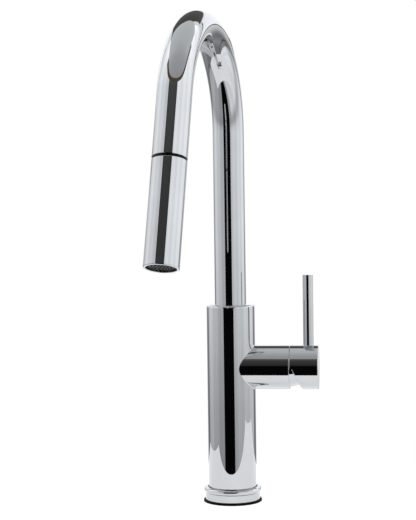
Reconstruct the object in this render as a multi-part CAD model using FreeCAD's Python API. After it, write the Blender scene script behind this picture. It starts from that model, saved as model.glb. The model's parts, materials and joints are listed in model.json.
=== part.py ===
"""Deck-mounted pull-down kitchen faucet, in millimetres.

The origin is the centre of the base gasket's underside, which lies on the counter top. +Z is up, the handle's
hub points along +X, and the spout leans towards -Y, swivelled a little to -X. One STEP file per piece.
"""

import FreeCAD
import Part
import math
import os

Vec = FreeCAD.Vector
X = Vec(1, 0, 0)
Y = Vec(0, 1, 0)
Z = Vec(0, 0, 1)

# Base: gasket, ring and the deck fixing below it
DECK_HOLE_R = 17.5
GASKET_R = 26.0
GASKET_TOP = 2.0
RING_BAND_R = 24.6
RING_FLOOR_TOP = 4.0
RING_SOCKET_R = 22.1
BEAD_R = 2.7
BEAD_CENTRE_R = 23.2
BEAD_Z = 10.7
COUNTER_THICKNESS = 30.0
CLAMP_R = 27.0
CLAMP_INNER_R = 17.2
CLAMP_MOUTH = 30.0
RUBBER_T = 3.0
STEEL_T = 2.0
NUT_FLATS = 12.0
NUT_HEIGHT = 12.0
STUD_R = 4.0
STUD_PLACE = (-9.6, -9.4)
STUD_BOTTOM = -75.0
PLATE_BOTTOM = 5.0
PLATE_TOP = 13.0
LUG_R = 6.2

# Body casting: an upright tube, solid between the ports and the swivel, with the hub on its side
BODY_R = 21.5
BODY_BORE_R = 19.0
BODY_TOP = 176.0
BODY_TOP_FILLET = 2.3
SWIVEL_BORE_R = 17.5
SWIVEL_FLOOR = 142.2
HUB_Z = 120.0
HUB_R = 19.6
HUB_BORE_R = 17.0
HUB_END = 52.5
HUB_FILLET = 0.8
SOLID_BOTTOM = 98.0
POCKET_END = 38.0
SEAT_X = 30.0
POCKET_R = 14.1
HOSE_WAY_R = 6.3
PORT_R = 4.5
PORT_DEPTH = 10.0
DROP_R = 2.6
FIT_GAP = 0.05

# Ports under the solid stretch, as (x, y), and the ways through the seat, as (y, height above the hub, radius)
PORTS = {"hot": (5.9, -11.1), "cold": (5.9, 11.1), "mixed": (13.0, 0.0)}
SEAT_WAYS = {"hot": (-5.8, 4.5, 2.0), "cold": (5.8, 4.5, 2.0), "mixed": (0.0, -4.0, 2.2)}
DISC_WAYS = {"hot": (-4.2, 4.2, 1.3), "cold": (4.2, 4.2, 1.3), "mixed": (0.0, -1.6, 1.8)}

# Spout
TUBE_R = 14.0
TUBE_BORE_R = 12.5
TUBE_BOTTOM = 142.3
BEND_START = 327.0
BEND_R = 85.6
BEND_DEG = 162.5
SPOUT_STRAIGHT = 55.0
SPOUT_YAW_DEG = 8.2
RUNNING_GAP = 0.05
SNAP_Z = 156.5
SNAP_T = 1.2
SNAP_GROOVE_R = 13.2
COLLAR_BOTTOM = 171.6
COLLAR_R = 14.2
EDGE_BREAK = 0.4

# Docking bush, hose and spray head, measured along the spout's end axis from the seam, + towards the bend
SEAM_TOP = 1.1
SEAM_BOTTOM = -0.9
DOCK_FLANGE_R = 13.7
DOCK_TOP = 26.0
DOCK_BORE_R = 9.3
DOCK_MOUTH_R = 10.8
CONE_TOP = 20.0
CONE_R = 8.9
HOSE_R = 5.5
HOSE_BORE_R = 3.5
HOSE_TAIL_Z = -80.0
TAIL_BOTTOM = -104.0
TAIL_R = 5.0
HEAD_TOP = -1.0
HEAD_BOTTOM = -86.0
HEAD_WALL_R = 12.7
HEAD_LIP_R = 12.0
FACE_Z = -84.6
FACE_T = 2.4
NOZZLE_RINGS = ((0.0, 1), (2.6, 6), (5.2, 12), (7.8, 18), (10.2, 24))
NOZZLE_R = 0.55

# Mixing cartridge, along +X from its seat, and the handle that tilts about PIVOT_X
CART_R = 13.9
CART_BASE_END = 34.8
CART_BORE_R = 11.0
SEAL_W = 1.2
SEAL_T = 1.4
DISC_STEP = 3.4
DISC_OFFSET = -1.7
DISC_R = 9.0
DISC_HOLLOW_R = 4.4
ROTOR_FLANGE_START = 46.3
ROTOR_FLANGE_END = 49.3
ROTOR_NECK_R = 8.3
ROTOR_END = 57.0
SHELL_SHOULDER = 46.0
SHELL_END = 51.0
SHELL_NECK_R = 12.2
PIVOT_X = 53.0
FOOT_X = 44.9
FOOT_R = 2.2
STEM_HALF = 3.0
STEM_END = 75.0
PIN_R = 1.5
DOME_R = 17.2
DOME_WALL = 1.0
DOME_OPENING_R = 10.5
CAP_START = 52.8
CAP_END = 78.0
CAP_CAVITY_R = 17.5
CAP_CUT_START = 54.8
CAP_CUT_DEG = 24.5
LEVER_X = 69.0
LEVER_R = 4.6
LEVER_TOP = 202.0
LEVER_SEAT = 17.0
LEVER_SHANK_R = 2.5
LEVER_SHANK_END = 12.6
SCREW_X = 73.0
SCREW_R = 2.0


def cylinder(radius, low, high, x=0.0, y=0.0):
    """An upright cylinder between two heights."""
    return Part.makeCylinder(radius, high - low, Vec(x, y, low), Z)


def ring(outer, inner, low, high):
    """An upright ring with a round hole."""
    return cylinder(outer, low, high).cut(cylinder(inner, low - 1, high + 1))


def bar(radius, start, end, y=0.0, z=HUB_Z):
    """A cylinder along +X between two X values."""
    return Part.makeCylinder(radius, end - start, Vec(start, y, z), X)


def collar(outer, inner, start, end):
    """A ring around the hub's axis."""
    return bar(outer, start, end).cut(bar(inner, start - 1, end + 1))


def block(x_range, y_range, z_range):
    """A box given by its three ranges."""
    size = [high - low for low, high in (x_range, y_range, z_range)]
    return Part.makeBox(*size, Vec(x_range[0], y_range[0], z_range[0]))


def turned(outline):
    """A solid of revolution about Z from edges in the XZ plane that close on themselves."""
    return Part.Face(Part.Wire(outline)).revolve(Vec(0, 0, 0), Z, 360)


def lines(points):
    """Straight edges through (radius, height) points, closed."""
    corners = [Vec(r, 0, z) for r, z in points]
    pairs = zip(corners, corners[1:] + corners[:1])
    return [Part.makeLine(a, b) for a, b in pairs]


def chamfered(radius, low, high, size, x=0.0, y=0.0):
    """An upright cylinder with both rims broken."""
    outline = lines(
        [
            (0, low),
            (radius - size, low),
            (radius, low + size),
            (radius, high - size),
            (radius - size, high),
            (0, high),
        ]
    )
    made = turned(outline)
    made.translate(Vec(x, y, 0))
    return made


def spout_direction():
    """The level direction in which the spout leans out."""
    yaw = math.radians(SPOUT_YAW_DEG)
    return Vec(-math.sin(yaw), -math.cos(yaw), 0)


def end_direction():
    """The direction of the spout's straight end, pointing out of it."""
    bend = math.radians(BEND_DEG)
    return spout_direction() * math.sin(bend) + Z * math.cos(bend)


def bend_end():
    """Where the bend meets the straight end."""
    bend = math.radians(BEND_DEG)
    out = spout_direction() * (BEND_R * (1 - math.cos(bend)))
    return out + Z * (BEND_START + BEND_R * math.sin(bend))


def seam_point():
    """The centre of the seam between spout and spray head."""
    return bend_end() + end_direction() * SPOUT_STRAIGHT


def at_seam(shape):
    """Moves a piece made about Z to the spout's end, its Z pointing back up the spout."""
    turn = FreeCAD.Rotation(Z, end_direction() * -1)
    moved = shape.copy()
    moved.Placement = FreeCAD.Placement(seam_point(), turn)
    return moved


def spout_path(bottom, end_offset):
    """The line, bend and line that the spout and its hose follow."""
    out = spout_direction()
    half = math.radians(BEND_DEG / 2)
    low = Vec(0, 0, bottom)
    start = Vec(0, 0, BEND_START)
    middle = out * (BEND_R * (1 - math.cos(half))) + Z * (BEND_START + BEND_R * math.sin(half))
    finish = bend_end()
    last = seam_point() - end_direction() * end_offset
    edges = [
        Part.makeLine(low, start),
        Part.Arc(start, middle, finish).toShape(),
        Part.makeLine(finish, last),
    ]
    return Part.Wire(edges)


def pipe(path, radius):
    """A round rod swept along a path that starts straight up."""
    start = path.Vertexes[0].Point
    profile = Part.Wire(Part.makeCircle(radius, start, Z))
    return path.makePipeShell([profile], True, False)


# --- base and deck fixing ---------------------------------------------------------------------------------


def base_gasket():
    body = ring(GASKET_R, DECK_HOLE_R, 0, GASKET_TOP)
    rims = [e for e in body.Edges if abs(e.Length - 2 * math.pi * GASKET_R) < 0.01]
    return body.makeFillet(0.7, rims)


def base_ring():
    """A flat floor, a straight band and a round bead that stands proud at the top."""
    inner_rise = math.sqrt(BEAD_R**2 - (BEAD_CENTRE_R - RING_SOCKET_R) ** 2)
    outer_rise = math.sqrt(BEAD_R**2 - (RING_BAND_R - BEAD_CENTRE_R) ** 2)
    top = Vec(RING_SOCKET_R, 0, BEAD_Z + inner_rise)
    side = Vec(BEAD_CENTRE_R + BEAD_R, 0, BEAD_Z)
    under = Vec(RING_BAND_R, 0, BEAD_Z - outer_rise)
    corners = [
        under,
        Vec(RING_BAND_R, 0, GASKET_TOP),
        Vec(DECK_HOLE_R, 0, GASKET_TOP),
        Vec(DECK_HOLE_R, 0, RING_FLOOR_TOP),
        Vec(RING_SOCKET_R, 0, RING_FLOOR_TOP),
        top,
    ]
    edges = [Part.makeLine(a, b) for a, b in zip(corners, corners[1:])]
    edges.append(Part.Arc(top, side, under).toShape())
    return turned(edges)


def lug_frame(outer, inner, low, high):
    """A ring with a lug on its inside that carries the stud."""
    lug = cylinder(LUG_R, low, high, *STUD_PLACE).common(cylinder(outer, low, high))
    frame = ring(outer, inner, low, high).fuse(lug).removeSplitter()
    return frame.cut(cylinder(STUD_R, low - 1, high + 1, *STUD_PLACE))


def mounting_plate():
    return lug_frame(BODY_BORE_R - FIT_GAP, DECK_HOLE_R, PLATE_BOTTOM, PLATE_TOP)


def horseshoe(low, high):
    """A clamp washer, open on the side away from the stud so that it slips on round the hoses."""
    frame = lug_frame(CLAMP_R, CLAMP_INNER_R, low, high)
    mouth = Part.makeBox(CLAMP_R * 2, CLAMP_MOUTH, high - low + 2, Vec(0, -CLAMP_MOUTH / 2, low - 1))
    away = math.degrees(math.atan2(-STUD_PLACE[1], -STUD_PLACE[0]))
    mouth.rotate(Vec(0, 0, 0), Z, away)
    return frame.cut(mouth)


def rubber_washer():
    return horseshoe(-COUNTER_THICKNESS - RUBBER_T, -COUNTER_THICKNESS)


def clamp_washer():
    top = -COUNTER_THICKNESS - RUBBER_T
    return horseshoe(top - STEEL_T, top)


def stud_nut():
    top = -COUNTER_THICKNESS - RUBBER_T - STEEL_T
    corner_r = NUT_FLATS / 2 / math.cos(math.pi / 6)
    x, y = STUD_PLACE
    corners = []
    for step in range(7):
        angle = math.radians(60 * step + 15)
        corners.append(Vec(x + corner_r * math.cos(angle), y + corner_r * math.sin(angle), top))
    prism = Part.Face(Part.makePolygon(corners)).extrude(Vec(0, 0, -NUT_HEIGHT))
    dressed = prism.common(chamfered(corner_r, top - NUT_HEIGHT, top, 0.6, x, y))
    return dressed.cut(cylinder(STUD_R, top - NUT_HEIGHT - 1, top + 1, x, y))


def mounting_stud():
    return chamfered(STUD_R - FIT_GAP, STUD_BOTTOM, PLATE_TOP, 0.8, *STUD_PLACE)


# --- body -------------------------------------------------------------------------------------------------


def faucet_body():
    """The casting: the upright, its hub, the seat for the cartridge and the water ways."""
    upright = cylinder(BODY_R, RING_FLOOR_TOP, BODY_TOP)
    rim = [e for e in upright.Edges if e.BoundBox.ZMin > BODY_TOP - 0.01]
    upright = upright.makeFillet(BODY_TOP_FILLET, rim)
    joined = upright.fuse(bar(HUB_R, 0, HUB_END))
    root = [e for e in joined.Edges if is_hub_root(e)]
    joined = joined.makeFillet(HUB_FILLET, root)
    mouth = [e for e in joined.Edges if e.BoundBox.XMin > HUB_END - 0.01]
    joined = joined.makeChamfer(EDGE_BREAK / 2, mouth)
    cuts = [
        cylinder(BODY_BORE_R, 0, SOLID_BOTTOM),
        cylinder(HOSE_WAY_R, SOLID_BOTTOM - 1, SWIVEL_FLOOR + 1),
        cylinder(SWIVEL_BORE_R, SWIVEL_FLOOR, BODY_TOP + 1),
        bar(POCKET_R, SEAT_X, POCKET_END + 1),
        bar(HUB_BORE_R, POCKET_END, HUB_END + 1),
    ]
    for cut in cuts + water_ways():
        joined = joined.cut(cut)
    return joined


def is_hub_root(edge):
    """True for the curved edges where the hub grows out of the upright body."""
    box = edge.BoundBox
    beside_hub = box.ZMin > HUB_Z - HUB_R - 0.1 and box.ZMax < HUB_Z + HUB_R + 0.1
    return beside_hub and box.XMin > 1 and box.XMax < BODY_R + 0.1 and box.ZLength > 1


def drill(radius, start, end):
    """A drilled way from one point to another."""
    return Part.makeCylinder(radius, (end - start).Length, start, end - start)


def water_ways():
    """Three threaded ports, each with a drilled drop above it and a slanted way out to the seat."""
    cuts = []
    for name, (x, y) in PORTS.items():
        seat_y, rise, radius = SEAT_WAYS[name]
        height = HUB_Z + rise
        cuts.append(cylinder(PORT_R, SOLID_BOTTOM - 1, SOLID_BOTTOM + PORT_DEPTH, x, y))
        cuts.append(cylinder(DROP_R, SOLID_BOTTOM, height + radius, x, y))
        cuts.append(drill(radius, Vec(x, y, height), Vec(SEAT_X + 0.1, seat_y, height)))
    return cuts


# --- spout ------------------------------------------------------------------------------------------------


def spout_tube():
    outside = pipe(spout_path(TUBE_BOTTOM, SEAM_TOP), TUBE_R)
    inside = pipe(spout_path(TUBE_BOTTOM, SEAM_TOP), TUBE_BORE_R)
    tube = outside.cut(inside)
    groove = ring(TUBE_R + 1, SNAP_GROOVE_R, SNAP_Z, SNAP_Z + SNAP_T)
    tube = tube.cut(groove)
    waste = lines(
        [
            (TUBE_R + 0.1, SEAM_TOP - 0.1),
            (TUBE_R - EDGE_BREAK, SEAM_TOP - 0.1),
            (TUBE_R - EDGE_BREAK, SEAM_TOP),
            (TUBE_R, SEAM_TOP + EDGE_BREAK),
            (TUBE_R + 0.1, SEAM_TOP + EDGE_BREAK),
        ]
    )
    return tube.cut(at_seam(turned(waste)))


def swivel_bush(low, high):
    return ring(SWIVEL_BORE_R - FIT_GAP, TUBE_R + RUNNING_GAP, low, high)


def lower_bush():
    return swivel_bush(SWIVEL_FLOOR, 150.0)


def upper_bush():
    return swivel_bush(SNAP_Z + SNAP_T, COLLAR_BOTTOM)


def swivel_oring():
    minor = (SWIVEL_BORE_R - TUBE_R) / 2 - RUNNING_GAP
    return Part.makeTorus(TUBE_R + RUNNING_GAP + minor, minor, Vec(0, 0, 152.5), Z)


def snap_ring():
    """An open ring in the tube's groove, under the upper bush, so the spout can't be pulled out."""
    low, high = SNAP_Z + 0.1, SNAP_Z + SNAP_T - 0.1
    full = ring(16.4, SNAP_GROOVE_R, low, high)
    gap = Part.makeBox(8, 20, 4, Vec(-4, 0, low - 1))
    return full.cut(gap)


def top_collar():
    """The chrome ring round the riser, flush with the body's top."""
    outline = lines(
        [
            (COLLAR_R, COLLAR_BOTTOM),
            (SWIVEL_BORE_R - FIT_GAP, COLLAR_BOTTOM),
            (SWIVEL_BORE_R - FIT_GAP, BODY_TOP),
            (COLLAR_R + EDGE_BREAK, BODY_TOP),
            (COLLAR_R, BODY_TOP - EDGE_BREAK),
        ]
    )
    return turned(outline)


def dock_bush():
    """The black guide in the spout's mouth; its flange is the dark line at the seam."""
    outline = lines(
        [
            (DOCK_MOUTH_R, SEAM_BOTTOM),
            (DOCK_FLANGE_R, SEAM_BOTTOM),
            (DOCK_FLANGE_R, SEAM_TOP),
            (TUBE_BORE_R - FIT_GAP, SEAM_TOP),
            (TUBE_BORE_R - FIT_GAP, DOCK_TOP),
            (DOCK_BORE_R + 0.6, DOCK_TOP),
            (DOCK_BORE_R, DOCK_TOP - 1.5),
            (DOCK_BORE_R, 6.0),
        ]
    )
    return at_seam(turned(outline))


# --- hose -------------------------------------------------------------------------------------------------


def spray_hose():
    """The pull-out hose, from the cone at the head to its tail fitting below the counter."""
    outside = pipe(spout_path(HOSE_TAIL_Z, CONE_TOP + FIT_GAP), HOSE_R)
    return outside.cut(pipe(spout_path(HOSE_TAIL_Z, CONE_TOP + FIT_GAP), HOSE_BORE_R))


def hose_tail():
    """The nipple at the hose's lower end, with a groove for a push-on coupling."""
    top = HOSE_TAIL_Z
    outline = lines(
        [
            (3.0, TAIL_BOTTOM),
            (TAIL_R - 0.6, TAIL_BOTTOM),
            (TAIL_R, TAIL_BOTTOM + 0.6),
            (TAIL_R, top - 8.0),
            (TAIL_R - 1.0, top - 7.5),
            (TAIL_R - 1.0, top - 5.5),
            (HOSE_R, top - 5.0),
            (HOSE_R, top),
            (3.0, top),
        ]
    )
    return turned(outline)


def hose_cone():
    """The tapered fitting crimped on the hose, with the flange on which the head turns."""
    outline = lines(
        [
            (3.0, -10.0),
            (6.4, -10.0),
            (6.4, -8.5),
            (5.0, -8.5),
            (5.0, SEAM_BOTTOM),
            (CONE_R, SEAM_BOTTOM + 0.2),
            (CONE_R, 9.0),
            (6.6, CONE_TOP),
            (3.0, CONE_TOP),
        ]
    )
    return at_seam(turned(outline))


# --- spray head -------------------------------------------------------------------------------------------


def head_shell():
    outline = lines(
        [
            (9.7, HEAD_TOP),
            (TUBE_R - EDGE_BREAK, HEAD_TOP),
            (TUBE_R, HEAD_TOP - EDGE_BREAK),
            (TUBE_R, HEAD_BOTTOM + 1.0),
            (TUBE_R - 0.3, HEAD_BOTTOM + 0.3),
            (TUBE_R - 1.0, HEAD_BOTTOM),
            (HEAD_LIP_R + 0.3, HEAD_BOTTOM),
            (HEAD_LIP_R, HEAD_BOTTOM + 0.3),
            (HEAD_LIP_R, FACE_Z - 0.2),
            (HEAD_LIP_R, FACE_Z),
            (HEAD_WALL_R, FACE_Z),
            (HEAD_WALL_R, HEAD_TOP - 1.6),
            (9.7, HEAD_TOP - 1.6),
        ]
    )
    return at_seam(turned(outline))


def head_core():
    """Plastic body with the nut's socket at the top and a water chamber open to the face."""
    outline = lines(
        [
            (8.6, -2.7),
            (HEAD_WALL_R - 0.1, -2.7),
            (HEAD_WALL_R - 0.1, -78.0),
            (10.6, -78.0),
            (10.6, -30.0),
            (6.0, -24.0),
            (6.0, -21.0),
            (7.2, -21.0),
            (7.2, -13.3),
            (8.6, -13.3),
        ]
    )
    return at_seam(turned(outline))


def swivel_nut():
    """The nut that holds the hose cone's flange in the head; its top carries six flats."""
    outline = lines([(5.06, -8.4), (8.5, -8.4), (8.5, -2.6), (7.6, -1.6), (5.06, -1.6)])
    return at_seam(turned(outline))


def hose_washer():
    """The flat rubber seal between the hose cone's flange and the screen."""
    return at_seam(ring(8.3, 4.0, -12.4, -10.05))


def inlet_screen():
    """A perforated disc that keeps grit out of the head."""
    disc = cylinder(8.4, -13.2, -12.5)
    for count, radius in ((1, 0.0), (6, 1.7), (12, 3.3)):
        for step in range(count):
            angle = 2 * math.pi * step / count
            place = (radius * math.cos(angle), radius * math.sin(angle))
            disc = disc.cut(cylinder(0.6, -14, -12, *place))
    return at_seam(disc)


def flow_regulator():
    """A plug with eight slots round a solid middle."""
    plug = cylinder(7.1, -20.9, -13.3)
    for step in range(8):
        slot = cylinder(0.9, -22, -13, 5.0, 0.0)
        slot.rotate(Vec(0, 0, 0), Z, 45 * step)
        plug = plug.cut(slot)
    return at_seam(plug)


def nozzle_places():
    """(x, y) of each nozzle on the face, ring by ring."""
    places = []
    for radius, count in NOZZLE_RINGS:
        for step in range(count):
            angle = 2 * math.pi * step / count
            places.append((radius * math.cos(angle), radius * math.sin(angle)))
    return places


def face_plate():
    """The dark face, held between the shell's lip and the core, with a hole for each nozzle."""
    plate = cylinder(HEAD_WALL_R - 0.1, FACE_Z + 0.02, FACE_Z + FACE_T)
    holes = [cylinder(NOZZLE_R + 0.08, FACE_Z - 1, FACE_Z + FACE_T + 1, x, y) for x, y in nozzle_places()]
    return at_seam(plate.cut(Part.makeCompound(holes)))


def nozzle_mat():
    """A silicone sheet behind the face whose hollow nubs stand through its holes."""
    low = FACE_Z + FACE_T + 0.02
    sheet = cylinder(HEAD_WALL_R - 0.3, low, low + 1.0)
    nubs = [cylinder(NOZZLE_R, FACE_Z - 0.5, low + 0.5, x, y) for x, y in nozzle_places()]
    jets = [cylinder(NOZZLE_R / 2, FACE_Z - 2, low + 2, x, y) for x, y in nozzle_places()]
    return at_seam(sheet.multiFuse(nubs).cut(Part.makeCompound(jets)))


def distributor():
    """The perforated plate that spreads the water over the nozzles."""
    low = FACE_Z + FACE_T + 1.1
    plate = cylinder(HEAD_WALL_R - 0.3, low, -78.1)
    holes = []
    for step in range(12):
        angle = math.pi * step / 6
        holes.append(cylinder(1.3, low - 1, -77, 7.4 * math.cos(angle), 7.4 * math.sin(angle)))
    return at_seam(plate.cut(Part.makeCompound(holes)))


# --- cartridge --------------------------------------------------------------------------------------------


def cartridge_base():
    base = bar(CART_R, SEAT_X, CART_BASE_END)
    for y, rise, radius in SEAT_WAYS.values():
        base = base.cut(bar(radius, SEAT_X - 1, CART_BASE_END + 1, y, HUB_Z + rise))
        base = base.cut(bar(radius + SEAL_W, SEAT_X - 1, SEAT_X + SEAL_T, y, HUB_Z + rise))
    return base


def base_seals():
    """Three rubber rings between the cartridge and its seat."""
    rings = []
    for y, rise, radius in SEAT_WAYS.values():
        outer = bar(radius + SEAL_W, SEAT_X, SEAT_X + SEAL_T, y, HUB_Z + rise)
        rings.append(outer.cut(bar(radius, SEAT_X - 1, SEAT_X + 3, y, HUB_Z + rise)))
    return Part.makeCompound(rings)


def cartridge_shell():
    shell = collar(CART_R, CART_BORE_R, CART_BASE_END + 0.02, SHELL_SHOULDER)
    neck = collar(SHELL_NECK_R, CART_BORE_R, SHELL_SHOULDER - 0.5, SHELL_END)
    lip = collar(SHELL_NECK_R, ROTOR_NECK_R + 0.1, ROTOR_FLANGE_END + 0.2, SHELL_END)
    return shell.fuse(neck).fuse(lip).removeSplitter()


def fixed_disc():
    """The lower ceramic disc, with the two inlets and the outlet through it."""
    start = CART_BASE_END + 0.05
    disc = bar(CART_BORE_R - 0.1, start, start + DISC_STEP)
    for y, rise, radius in DISC_WAYS.values():
        disc = disc.cut(bar(radius, start - 1, start + DISC_STEP + 1, y, HUB_Z + rise))
    return disc


def moving_disc():
    """The upper ceramic disc, hollowed on its sliding face so that it joins the water ways."""
    start = CART_BASE_END + 0.1 + DISC_STEP
    disc = bar(DISC_R, start, start + DISC_STEP, 0, HUB_Z + DISC_OFFSET)
    return disc.cut(bar(DISC_HOLLOW_R, start - 1, start + 1.6, 0, HUB_Z + DISC_OFFSET))


def disc_carrier():
    """The slider on the upper disc, with a socket for the stem's foot."""
    start = CART_BASE_END + 0.15 + 2 * DISC_STEP
    end = ROTOR_FLANGE_START - 0.2
    slider = bar(DISC_R, start, end, 0, HUB_Z + DISC_OFFSET)
    half = FOOT_R + 0.2
    socket = block((start + 0.7, end + 1), (-half, half), (HUB_Z - half, HUB_Z + half))
    return slider.cut(socket)


def cartridge_rotor():
    """Turns in the cartridge with the handle; the stem tilts on a pin through its slotted neck."""
    flange = bar(CART_BORE_R - RUNNING_GAP, ROTOR_FLANGE_START, ROTOR_FLANGE_END)
    rotor = flange.fuse(bar(ROTOR_NECK_R, ROTOR_FLANGE_START, ROTOR_END)).removeSplitter()
    half = STEM_HALF + 0.2
    slot = block((ROTOR_FLANGE_START - 1, ROTOR_END + 1), (-half, half), (HUB_Z - 5.6, HUB_Z + 6.4))
    rotor = rotor.cut(slot)
    return rotor.cut(Part.makeCylinder(PIN_R, 40, Vec(PIVOT_X, -20, HUB_Z), Y))


def pivot_pin():
    length = 2 * (ROTOR_NECK_R - 0.4)
    return Part.makeCylinder(PIN_R, length, Vec(PIVOT_X, -length / 2, HUB_Z), Y)


def cartridge_stem():
    """The square metal stem, with a round foot in the carrier and a hole for the pivot pin."""
    half = STEM_HALF
    stem = block((48.6, STEM_END), (-half, half), (HUB_Z - half, HUB_Z + half))
    stem = stem.fuse(bar(1.5, FOOT_X, 49.0))
    stem = stem.fuse(Part.makeSphere(FOOT_R, Vec(FOOT_X, 0, HUB_Z)))
    bore = Part.makeCylinder(PIN_R + RUNNING_GAP, 20, Vec(PIVOT_X, -10, HUB_Z), Y)
    return stem.cut(bore)


def cartridge_nut():
    """The ring nut that holds the cartridge down, with four slots for a spanner."""
    nut = collar(HUB_BORE_R - FIT_GAP, SHELL_NECK_R + 0.2, SHELL_SHOULDER + 0.05, 49.8)
    for angle in (0, 90):
        slot = Part.makeBox(2.0, 40, 4, Vec(48.3, -20, HUB_Z - 2))
        slot.rotate(Vec(0, 0, HUB_Z), X, angle)
        nut = nut.cut(slot)
    return nut


def bonnet_dome():
    """The chrome dome over the nut, round the pivot, so that the handle clears it as it tilts."""
    centre = Vec(PIVOT_X, 0, HUB_Z)
    dome = Part.makeSphere(DOME_R, centre).cut(Part.makeSphere(DOME_R - DOME_WALL, centre))
    dome = dome.common(bar(DOME_R + 1, HUB_END, PIVOT_X + DOME_R))
    skirt = collar(HUB_BORE_R - FIT_GAP, 15.2, 50.0, PIVOT_X + 1.0)
    dome = dome.fuse(skirt.common(Part.makeSphere(DOME_R, centre).fuse(bar(20, 40, HUB_END))))
    return dome.removeSplitter().cut(bar(DOME_OPENING_R, HUB_END, PIVOT_X + DOME_R + 1))


# --- handle -----------------------------------------------------------------------------------------------


def handle_cap():
    """The hollow end of the hub that tilts; its lower half is cut back so that it can."""
    cap = bar(HUB_R, CAP_START, CAP_END)
    rims = [e for e in cap.Edges if e.BoundBox.XMin > CAP_END - 0.01]
    cap = cap.makeFillet(0.6, rims)
    cap = cap.cut(Part.makeSphere(CAP_CAVITY_R, Vec(PIVOT_X, 0, HUB_Z)))
    cap = cap.cut(bar(CAP_CAVITY_R, CAP_START - 1, PIVOT_X))
    lean = HUB_R * 2 * math.tan(math.radians(CAP_CUT_DEG))
    corners = [
        Vec(CAP_START - 5, 0, HUB_Z),
        Vec(CAP_CUT_START, 0, HUB_Z),
        Vec(CAP_CUT_START + lean, 0, HUB_Z - HUB_R * 2),
        Vec(CAP_START - 5, 0, HUB_Z - HUB_R * 2),
    ]
    wedge = Part.Face(Part.makePolygon(corners + corners[:1])).extrude(Y * 60)
    wedge.translate(Y * -30)
    cap = cap.cut(wedge)
    half = STEM_HALF + 0.03
    cap = cap.cut(block((60, STEM_END + 0.5), (-half, half), (HUB_Z - half, HUB_Z + half)))
    cap = cap.cut(cylinder(LEVER_R + 0.02, HUB_Z + LEVER_SEAT, HUB_Z + HUB_R + 5, LEVER_X))
    cap = cap.cut(cylinder(LEVER_SHANK_R + 0.02, HUB_Z, HUB_Z + LEVER_SEAT + 1, LEVER_X))
    return cap.cut(cylinder(SCREW_R + 0.02, HUB_Z - HUB_R - 5, HUB_Z, SCREW_X))


def lever_pin():
    """The straight lever, screwed into the cap by a thinner shank."""
    outline = lines(
        [
            (0, HUB_Z + LEVER_SHANK_END),
            (LEVER_SHANK_R, HUB_Z + LEVER_SHANK_END),
            (LEVER_SHANK_R, HUB_Z + LEVER_SEAT),
            (LEVER_R, HUB_Z + LEVER_SEAT),
            (LEVER_R, LEVER_TOP - EDGE_BREAK),
            (LEVER_R - EDGE_BREAK, LEVER_TOP),
            (0, LEVER_TOP),
        ]
    )
    made = turned(outline)
    made.translate(Vec(LEVER_X, 0, 0))
    return made


def handle_set_screw():
    """The grub screw that locks the cap on the stem, with a hexagon socket."""
    low, high = HUB_Z - 11.0, HUB_Z - STEM_HALF - 0.05
    screw = chamfered(SCREW_R, low, high, 0.3, SCREW_X, 0)
    key = 1.15
    corners = []
    for step in range(7):
        angle = math.radians(60 * step)
        corners.append(Vec(SCREW_X + key * math.cos(angle), key * math.sin(angle), low - 1))
    return screw.cut(Part.Face(Part.makePolygon(corners)).extrude(Z * 3.5))


def screw_plug():
    """The small plug that hides the grub screw."""
    return chamfered(SCREW_R, HUB_Z - HUB_R + 0.3, HUB_Z - HUB_R + 3.3, 0.2, SCREW_X, 0)


MAKERS = [
    base_gasket, base_ring, mounting_plate, mounting_stud, rubber_washer, clamp_washer, stud_nut,
    faucet_body, lower_bush, upper_bush, swivel_oring, top_collar,
    spout_tube, snap_ring, dock_bush, spray_hose, hose_tail, hose_cone,
    head_shell, head_core, swivel_nut, hose_washer, inlet_screen, flow_regulator,
    face_plate, nozzle_mat, distributor,
    cartridge_base, base_seals, cartridge_shell, fixed_disc, moving_disc, disc_carrier,
    cartridge_rotor, pivot_pin, cartridge_stem, cartridge_nut, bonnet_dome,
    handle_cap, lever_pin, handle_set_screw, screw_plug,
]

os.makedirs("parts", exist_ok=True)
for maker in MAKERS:
    piece = maker()
    solids = len(piece.Solids)
    if not piece.isValid() or solids == 0:
        raise ValueError(f"{maker.__name__} is not a sound solid")
    piece.exportStep(f"parts/{maker.__name__}.step")
    print(f"{maker.__name__}: {solids} solid, {piece.Volume / 1000:.2f} cm3")
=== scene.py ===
import json
import math

import bpy
from mathutils import Matrix, Vector


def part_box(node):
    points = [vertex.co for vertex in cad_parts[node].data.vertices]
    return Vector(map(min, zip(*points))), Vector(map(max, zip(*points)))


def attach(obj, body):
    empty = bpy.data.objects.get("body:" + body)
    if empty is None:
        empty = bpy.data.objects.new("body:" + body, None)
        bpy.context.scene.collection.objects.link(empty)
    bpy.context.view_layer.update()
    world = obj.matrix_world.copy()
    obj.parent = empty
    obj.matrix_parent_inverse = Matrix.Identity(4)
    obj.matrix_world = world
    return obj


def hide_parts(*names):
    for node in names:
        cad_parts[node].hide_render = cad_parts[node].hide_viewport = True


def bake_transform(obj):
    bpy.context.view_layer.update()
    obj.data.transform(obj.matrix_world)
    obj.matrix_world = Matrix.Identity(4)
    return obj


bl_info = {
    "name": "Pull-down kitchen faucet",
    "version": (1, 0, 0),
    "blender": (4, 5, 0),
    "location": "3D View > Sidebar > Faucet",
    "description": "Dresses the faucet's frame with its finished pieces, finishes and studio",
    "category": "Object",
}

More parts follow.
